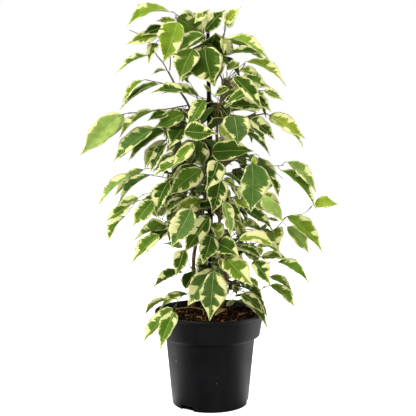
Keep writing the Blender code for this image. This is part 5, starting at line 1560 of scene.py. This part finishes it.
class FigPotLook(bpy.types.PropertyGroup):
    """Sizes and colours of the pot"""

    pot_black: colour("Plastic", "The pot's black plastic", (0.0022, 0.0022, 0.0031))
    steps: whole("Steps", "Faces round the pot", 192, 32)
    rounding: length("Rounding", "Radius of the pot's moulded corners", 1.1 * MM)


class FigSoilLook(bpy.types.PropertyGroup):
    """Sizes and colours of the soil and the bark in it"""

    # Both peats are darker than the peat itself, to paint the shade the leaves cast on the soil
    shaded_soil_dark: colour("Dark peat", "Peat in its hollows", (0.002, 0.0013, 0.0006))
    shaded_soil_light: colour("Light peat", "Peat on its lumps", (0.012, 0.006, 0.002))
    chip_dark: colour("Dark chips", "The darkest bark chips", (0.004, 0.0025, 0.001))
    chip_red: colour("Red chips", "The reddest bark chips", (0.30, 0.14, 0.045))
    chip_length: length("Chip length", "A usual bark chip's length", 6.5 * MM)
    crumb_length: length("Crumb length", "A usual crumb's length", 2.2 * MM)
    chip_density: number("Chips", "Bark chips in a square metre", 16000)
    crumb_density: number("Crumbs", "Crumbs in a square metre", 110000)


class FigStageLook(bpy.types.PropertyGroup):
    """The studio round the plant"""

    floor: number("Floor", "The floor's brightness", 0.93, max=1)
    floor_glow_near: number("Near glow", "Light from the floor round the pot", 0.8)
    floor_glow_far: number("Far glow", "Light from the far floor", 0.9)
    floor_bounce: number("Bounce", "Share of the glow that lights the plant", 0.12)
    sky: number("Sky", "Strength of the light from all round", 0.12)
    key: number("Key light", "Power of the large front light", 54, unit="POWER")
    top: number("Top light", "Power of the light overhead", 50, unit="POWER")
    strip: number("Strip lights", "Power of the lights at the sides", 12, unit="POWER")
    floor_mirrored: number("Mirrored floor", "The floor's light in gloss", 1.5)


class FigLook(bpy.types.PropertyGroup):
    """Everything that a user may change"""

    leaves: PointerProperty(type=FigLeafLook)
    wood: PointerProperty(type=FigWoodLook)
    pot: PointerProperty(type=FigPotLook)
    soil: PointerProperty(type=FigSoilLook)
    stage: PointerProperty(type=FigStageLook)


def material_once(name, make, look):
    return bpy.data.materials.get(name) or make(look)


class FIG_OT_pot(bpy.types.Operator):
    """Build the pot: floor, tapering wall, deep collar, rolled lip and foot notches"""

    bl_idname = "fig.pot"
    bl_label = "Pot"

    def execute(self, context):
        look = context.scene.fig_look.pot
        lip_foot = POT_HEIGHT - LIP_DEPTH
        profile = [
            (0, POT_FLOOR),
            (FOOT_RADIUS - POT_WALL, POT_FLOOR),
            (BODY_TOP_RADIUS - POT_WALL, BODY_TOP_HEIGHT + POT_WALL),
            (COLLAR_FOOT_RADIUS - POT_WALL, COLLAR_FOOT_HEIGHT + POT_WALL),
            (COLLAR_TOP_RADIUS - POT_WALL, lip_foot),
            (LIP_RADIUS - 3 * POT_WALL, POT_HEIGHT - 0.4 * MM),
            (LIP_RADIUS - 2 * POT_WALL, POT_HEIGHT),
            (LIP_RADIUS, POT_HEIGHT),
            (LIP_RADIUS - 0.3 * MM, lip_foot),
            (COLLAR_TOP_RADIUS, lip_foot - STEP_CHAMFER),
            (COLLAR_FOOT_RADIUS, COLLAR_FOOT_HEIGHT),
            (COLLAR_FOOT_RADIUS - STEP_CHAMFER, COLLAR_FOOT_HEIGHT - STEP_CHAMFER),
            (BODY_TOP_RADIUS, BODY_TOP_HEIGHT),
            (FOOT_RADIUS, FOOT_CHAMFER),
            (FOOT_RADIUS - FOOT_CHAMFER, 0),
            (0, 0),
        ]
        mesh = turned("pot_wall", rounded(profile, look.rounding), look.steps)
        pot = new_object("pot_wall", mesh, material_once("pot_plastic_satin", pot_material, look))
        cut_notches(context, pot, NOTCH_REACH)
        pot.data.set_sharp_from_angle(angle=math.radians(38))
        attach(pot, "root")
        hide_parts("pot")
        return {"FINISHED"}


class FIG_OT_soil(bpy.types.Operator):
    """Build the soil and the crumbs and bark chips that lie on it"""

    bl_idname = "fig.soil"
    bl_label = "Soil"

    def execute(self, context):
        look = context.scene.fig_look.soil
        top_radius = COLLAR_TOP_RADIUS - POT_WALL - SOIL_MARGIN
        rings = 34
        inset = POT_WALL + GAP
        profile = [(top_radius * ring / rings, SOIL_HEIGHT) for ring in range(rings + 1)]
        profile += [
            (COLLAR_FOOT_RADIUS - inset, COLLAR_FOOT_HEIGHT + POT_WALL + 2 * GAP),
            (BODY_TOP_RADIUS - inset, BODY_TOP_HEIGHT + POT_WALL + GAP),
            (FOOT_RADIUS - inset, POT_FLOOR + GAP),
            (0, POT_FLOOR + GAP),
        ]
        mesh = turned("peat", profile, 144)
        for vertex in mesh.vertices:
            if vertex.co.z > SOIL_HEIGHT - MM:
                vertex.co.z = crumbly(vertex.co.x, vertex.co.y)
        soil = new_object("peat", mesh, material_once("peat", soil_material, look))
        cut_notches(context, soil, 3 * NOTCH_REACH)
        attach(soil, "root")
        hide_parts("soil")
        chips = material_once("bark_chips", chip_material, look)
        tree = chip_tree()
        for name, density, length, slimness, flatness, tilt, seed in (
            ("crumbs", look.crumb_density, look.crumb_length, 0.8, 0.6, 0.6, 3),
            ("chips", look.chip_density, look.chip_length, 0.36, 0.22, 0.45, 8),
        ):
            lot = new_object(name, soil_top(top_radius - 3 * MM))
            grown(lot, tree, {
                "Density": density, "Length": length, "Slimness": slimness, "Flatness": flatness,
                "Tilt": tilt, "Seed": seed, "Material": chips,
            })
            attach(lot, "root")
        return {"FINISHED"}


# How the swollen leaf scars follow one another, and how old the bark is at each upper end
SCAR_TURN = 0.93
SCAR_SHARPNESS = 6
YOUNG_END = {"stem_left": -0.3, "stem_right": 0.65, "stem_centre": 0.3}


class FIG_OT_stems(bpy.types.Operator):
    """Build the three woody stems with their knots"""

    bl_idname = "fig.stems"
    bl_label = "Stems"

    def execute(self, context):
        look = context.scene.fig_look.wood
        bark = material_once("fig_bark", bark_material, look)
        for name in STEMS:
            points, radii = stem_path(name)
            fine = smooth(points, 5)
            thick = [place.x for place in smooth([(radius, 0, 0) for radius in radii], 5)]
            for index, slim in enumerate(tapered(1.0, look.slimness, len(fine))):
                swell = max(0, math.sin(index * SCAR_TURN + len(name))) ** SCAR_SHARPNESS
                thick[index] *= (1 + look.knot * swell) * slim
            ages = tapered(1.0, YOUNG_END[name], len(fine))
            stem = wood(f"wood_{name}", [(fine, thick, ages)], 14, bark)
            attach(stem, "root")
            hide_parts(name)
        return {"FINISHED"}


class FIG_OT_stake(bpy.types.Operator):
    """Give the frame's stake its dull black plastic"""

    bl_idname = "fig.stake"
    bl_label = "Stake"

    def execute(self, context):
        look = context.scene.fig_look.wood
        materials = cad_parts["stake"].data.materials
        materials.clear()
        materials.append(material_once("stake_plastic_dull", stake_material, look))
        return {"FINISHED"}


# Thin leafless twigs: (column, row, depth) courses
BARE_TWIGS = (
    ((217.8, 152, -4), (215.4, 134, 0), (214.6, 118, 4), (217.6, 102, 3), (220.6, 90, 2)),
    ((219.6, 128, -3), (221.4, 112, -3), (224.6, 98, -2), (226.6, 84, 0)),
    ((219.2, 105, 0), (221.5, 94, 2), (225, 82, 4), (227.5, 72.5, 6)),
    ((221.5, 98, 0), (226, 88, 6), (231.5, 79, 10), (236, 70, 12)),
    ((222.4, 95, 0), (224.5, 84, -5), (222.8, 73, -8)),
    ((221.8, 97, 2), (228, 91, 12), (235, 85, 16)),
    ((223, 86, 1), (230, 77, 8), (238, 68.5, 12), (245, 62.5, 14)),
    ((222.8, 90, 1), (228.5, 84, 10), (229.5, 76, 12), (233.5, 69, 14)),
    ((217, 118, 0), (213.5, 108, 6), (211.5, 99, 8)),
    ((217.2, 112, 0), (220.5, 103, -8), (226, 96, -12)),
    ((254.6, 247.7, 51), (251, 254, 48), (249.5, 259.5, 44)),
    ((256, 243.3, 50), (255.2, 233, 48), (255.6, 222.5, 46)),
    ((225.6, 296.5, -12), (229.5, 290, -8), (233.8, 283, -4)),
    ((262, 288.6, 43), (268, 286.2, 44), (273, 284, 45)),
    ((171, 297.5, 46), (168.3, 293.2, 46), (165.4, 292, 46)),
    ((250, 297, 54), (262, 306, 62), (266.5, 308.6, 60), (272.4, 301.7, 58)),
)


class FIG_OT_bare_twigs(bpy.types.Operator):
    """Build the thin twigs that bear no leaves"""

    bl_idname = "fig.bare_twigs"
    bl_label = "Bare twigs"

    def execute(self, context):
        look = context.scene.fig_look
        end = look.leaves.twig_end
        courses = []
        for course in BARE_TWIGS:
            points = smooth([seen_at(*place) for place in course])
            courses.append(limb(points, (1.2 * end, 0.8 * end), (0.45, 0.1)))
        twigs = wood("bare_twigs", courses, 7, material_once("fig_bark", bark_material, look.wood))
        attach(twigs, "root")
        return {"FINISHED"}


# On the soil: courses of (column, row, millimetres above), and leaves of base, tip, width, phase
DRY_STEM = ((176, 309, 1.5), (190, 307.3, 3), (202, 309.4, 2.5), (203.6, 314.6, 1))
DRY_STALK = ((203.6, 313.5, 1.5), (203, 310, 6), (203, 308.5, 11))
FALLEN = (
    ((214.7, 316.2), (227.4, 309.6), 7, 1.0),
    ((243, 314), (236.5, 318), 3.5, 2.0),
    ((196, 317.5), (203, 318.8), 3, 3.0),
)


class FIG_OT_litter(bpy.types.Operator):
    """Build the dry stem and the fallen leaves on the soil"""

    bl_idname = "fig.litter"
    bl_label = "Litter"

    def execute(self, context):
        look = context.scene.fig_look
        dry = material_once("dry_leaf", dry_leaf_material, look.soil)
        stem, stalk = (
            smooth([on_soil(column, row, above * MM) for column, row, above in course], steps)
            for course, steps in ((DRY_STEM, 5), (DRY_STALK, 4))
        )
        litter = wood("dry_stems", [
            limb(stem, (1.0 * MM, 0.7 * MM), (0.6, 0.4)),
            limb(stalk, (0.8 * MM, 0.5 * MM), (0.4, 0.2)),
        ], 7, dry)
        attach(litter, "root")
        fallen = LeafMesh()
        for base, tip, width, phase in FALLEN:
            base, tip = on_soil(*base, 3 * MM), on_soil(*tip, 4 * MM)
            normal = square_to(Vector((0.2, -0.5, 1)), (tip - base).normalized()).normalized()
            fallen.add({
                "base": base, "tip": tip, "normal": normal, "width": width * MM, "arch": 0.1,
                "stations": BLADE_STATIONS, "phase": phase, "tone": PALE, "cream": 0.3,
            }, look.leaves, phase)
        leaves = new_object("fallen_leaves", fallen.mesh("fallen_leaves"), dry)
        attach(leaves, "root")
        return {"FINISHED"}


class FIG_OT_shoots(bpy.types.Operator):
    """Build every leafy shoot in place of the frame's"""

    bl_idname = "fig.shoots"
    bl_label = "Leafy shoots"

    def execute(self, context):
        look = context.scene.fig_look
        leaf_look = material_once("variegated_leaf", leaf_material, look.leaves)
        bark = material_once("fig_bark", bark_material, look.wood)
        shoots = plan_plant()
        inner_leaves(shoots, look.leaves)
        for shoot in shoots:
            build_shoot(shoot, look.leaves, leaf_look, bark)
        return {"FINISHED"}


FLOOR_RADIUS = 9
AIM = Vector((0, 0, 0.32))
SENSOR_WIDTH = 36


class FIG_OT_stage(bpy.types.Operator):
    """Set the floor, the lights and the camera"""

    bl_idname = "fig.stage"
    bl_label = "Stage"

    def execute(self, context):
        look = context.scene.fig_look.stage
        mesh = bpy.data.meshes.new("studio_floor")
        work = bmesh.new()
        bmesh.ops.create_circle(work, cap_ends=True, segments=96, radius=FLOOR_RADIUS)
        work.to_mesh(mesh)
        work.free()
        finish = material_once("studio_floor", floor_material, look)
        floor = new_object("studio_floor", mesh, finish)
        for name, place, power, size in (
            ("key_light", (-1.3, -1.7, 1.7), look.key, (1.5, 1.5)),
            ("top_light", (0.2, 0.1, 2.3), look.top, (2.2, 2.2)),
            ("left_strip", (-1.5, -0.3, 0.6), look.strip, (0.3, 1.6)),
            ("right_strip", (1.5, -0.3, 0.6), look.strip, (0.3, 1.6)),
        ):
            data = bpy.data.lights.new(name, "AREA")
            data.shape = "RECTANGLE"
            data.size, data.size_y = size
            data.energy = power
            light = new_object(name, data)
            light.location = place
            light.rotation_euler = (AIM - Vector(place)).to_track_quat("-Z", "Y").to_euler()
        world = bpy.data.worlds.new("studio_air")
        world.use_nodes = True
        nodes = Nodes(world.node_tree)
        sky = world.node_tree.nodes["Background"].inputs
        seen = nodes.add("ShaderNodeLightPath", output="Is Camera Ray")
        nodes.link(sky["Color"], (1, 1, 1))
        nodes.link(sky["Strength"], seen.ramp(0, 1, look.sky, 1.0))
        context.scene.world = world
        context.scene.view_settings.view_transform = "Standard"
        camera = new_object("eye", bpy.data.cameras.new("eye"))
        camera.location = EYE
        camera.rotation_euler = (math.pi / 2 - EYE_PITCH, 0, 0)
        camera.data.sensor_width = SENSOR_WIDTH
        camera.data.lens = SENSOR_WIDTH * LENS / PICTURE_WIDTH
        context.scene.camera = camera
        return {"FINISHED"}


OPERATORS = (
    FIG_OT_pot, FIG_OT_soil, FIG_OT_litter, FIG_OT_stems, FIG_OT_bare_twigs, FIG_OT_stake,
    FIG_OT_shoots, FIG_OT_stage,
)


class FIG_PT_plant(bpy.types.Panel):
    """The plant's pieces and what may be changed on them"""

    bl_label = "Weeping fig"
    bl_idname = "FIG_PT_plant"
    bl_space_type = "VIEW_3D"
    bl_region_type = "UI"
    bl_category = "Weeping fig"

    def draw(self, context):
        look = context.scene.fig_look
        for operator in OPERATORS:
            self.layout.operator(operator.bl_idname)
        for group in (look.leaves, look.wood, look.pot, look.soil, look.stage):
            box = self.layout.box()
            for key in group.bl_rna.properties.keys():
                if key not in ("rna_type", "name"):
                    box.prop(group, key)


CLASSES = (
    FigLeafLook, FigWoodLook, FigPotLook, FigSoilLook, FigStageLook, FigLook, *OPERATORS,
    FIG_PT_plant,
)


def register():
    for item in CLASSES:
        bpy.utils.register_class(item)
    bpy.types.Scene.fig_look = PointerProperty(type=FigLook)


def unregister():
    del bpy.types.Scene.fig_look
    for item in reversed(CLASSES):
        bpy.utils.unregister_class(item)


def main():
    for name in ("Cube", "Light", "Camera"):
        if name in bpy.data.objects:
            bpy.data.objects.remove(bpy.data.objects[name])
    register()
    bpy.ops.fig.pot()
    bpy.ops.fig.soil()
    bpy.ops.fig.litter()
    bpy.ops.fig.stems()
    bpy.ops.fig.bare_twigs()
    bpy.ops.fig.stake()
    bpy.ops.fig.shoots()
    bpy.ops.fig.stage()


if __name__ == "__main__":
    main()
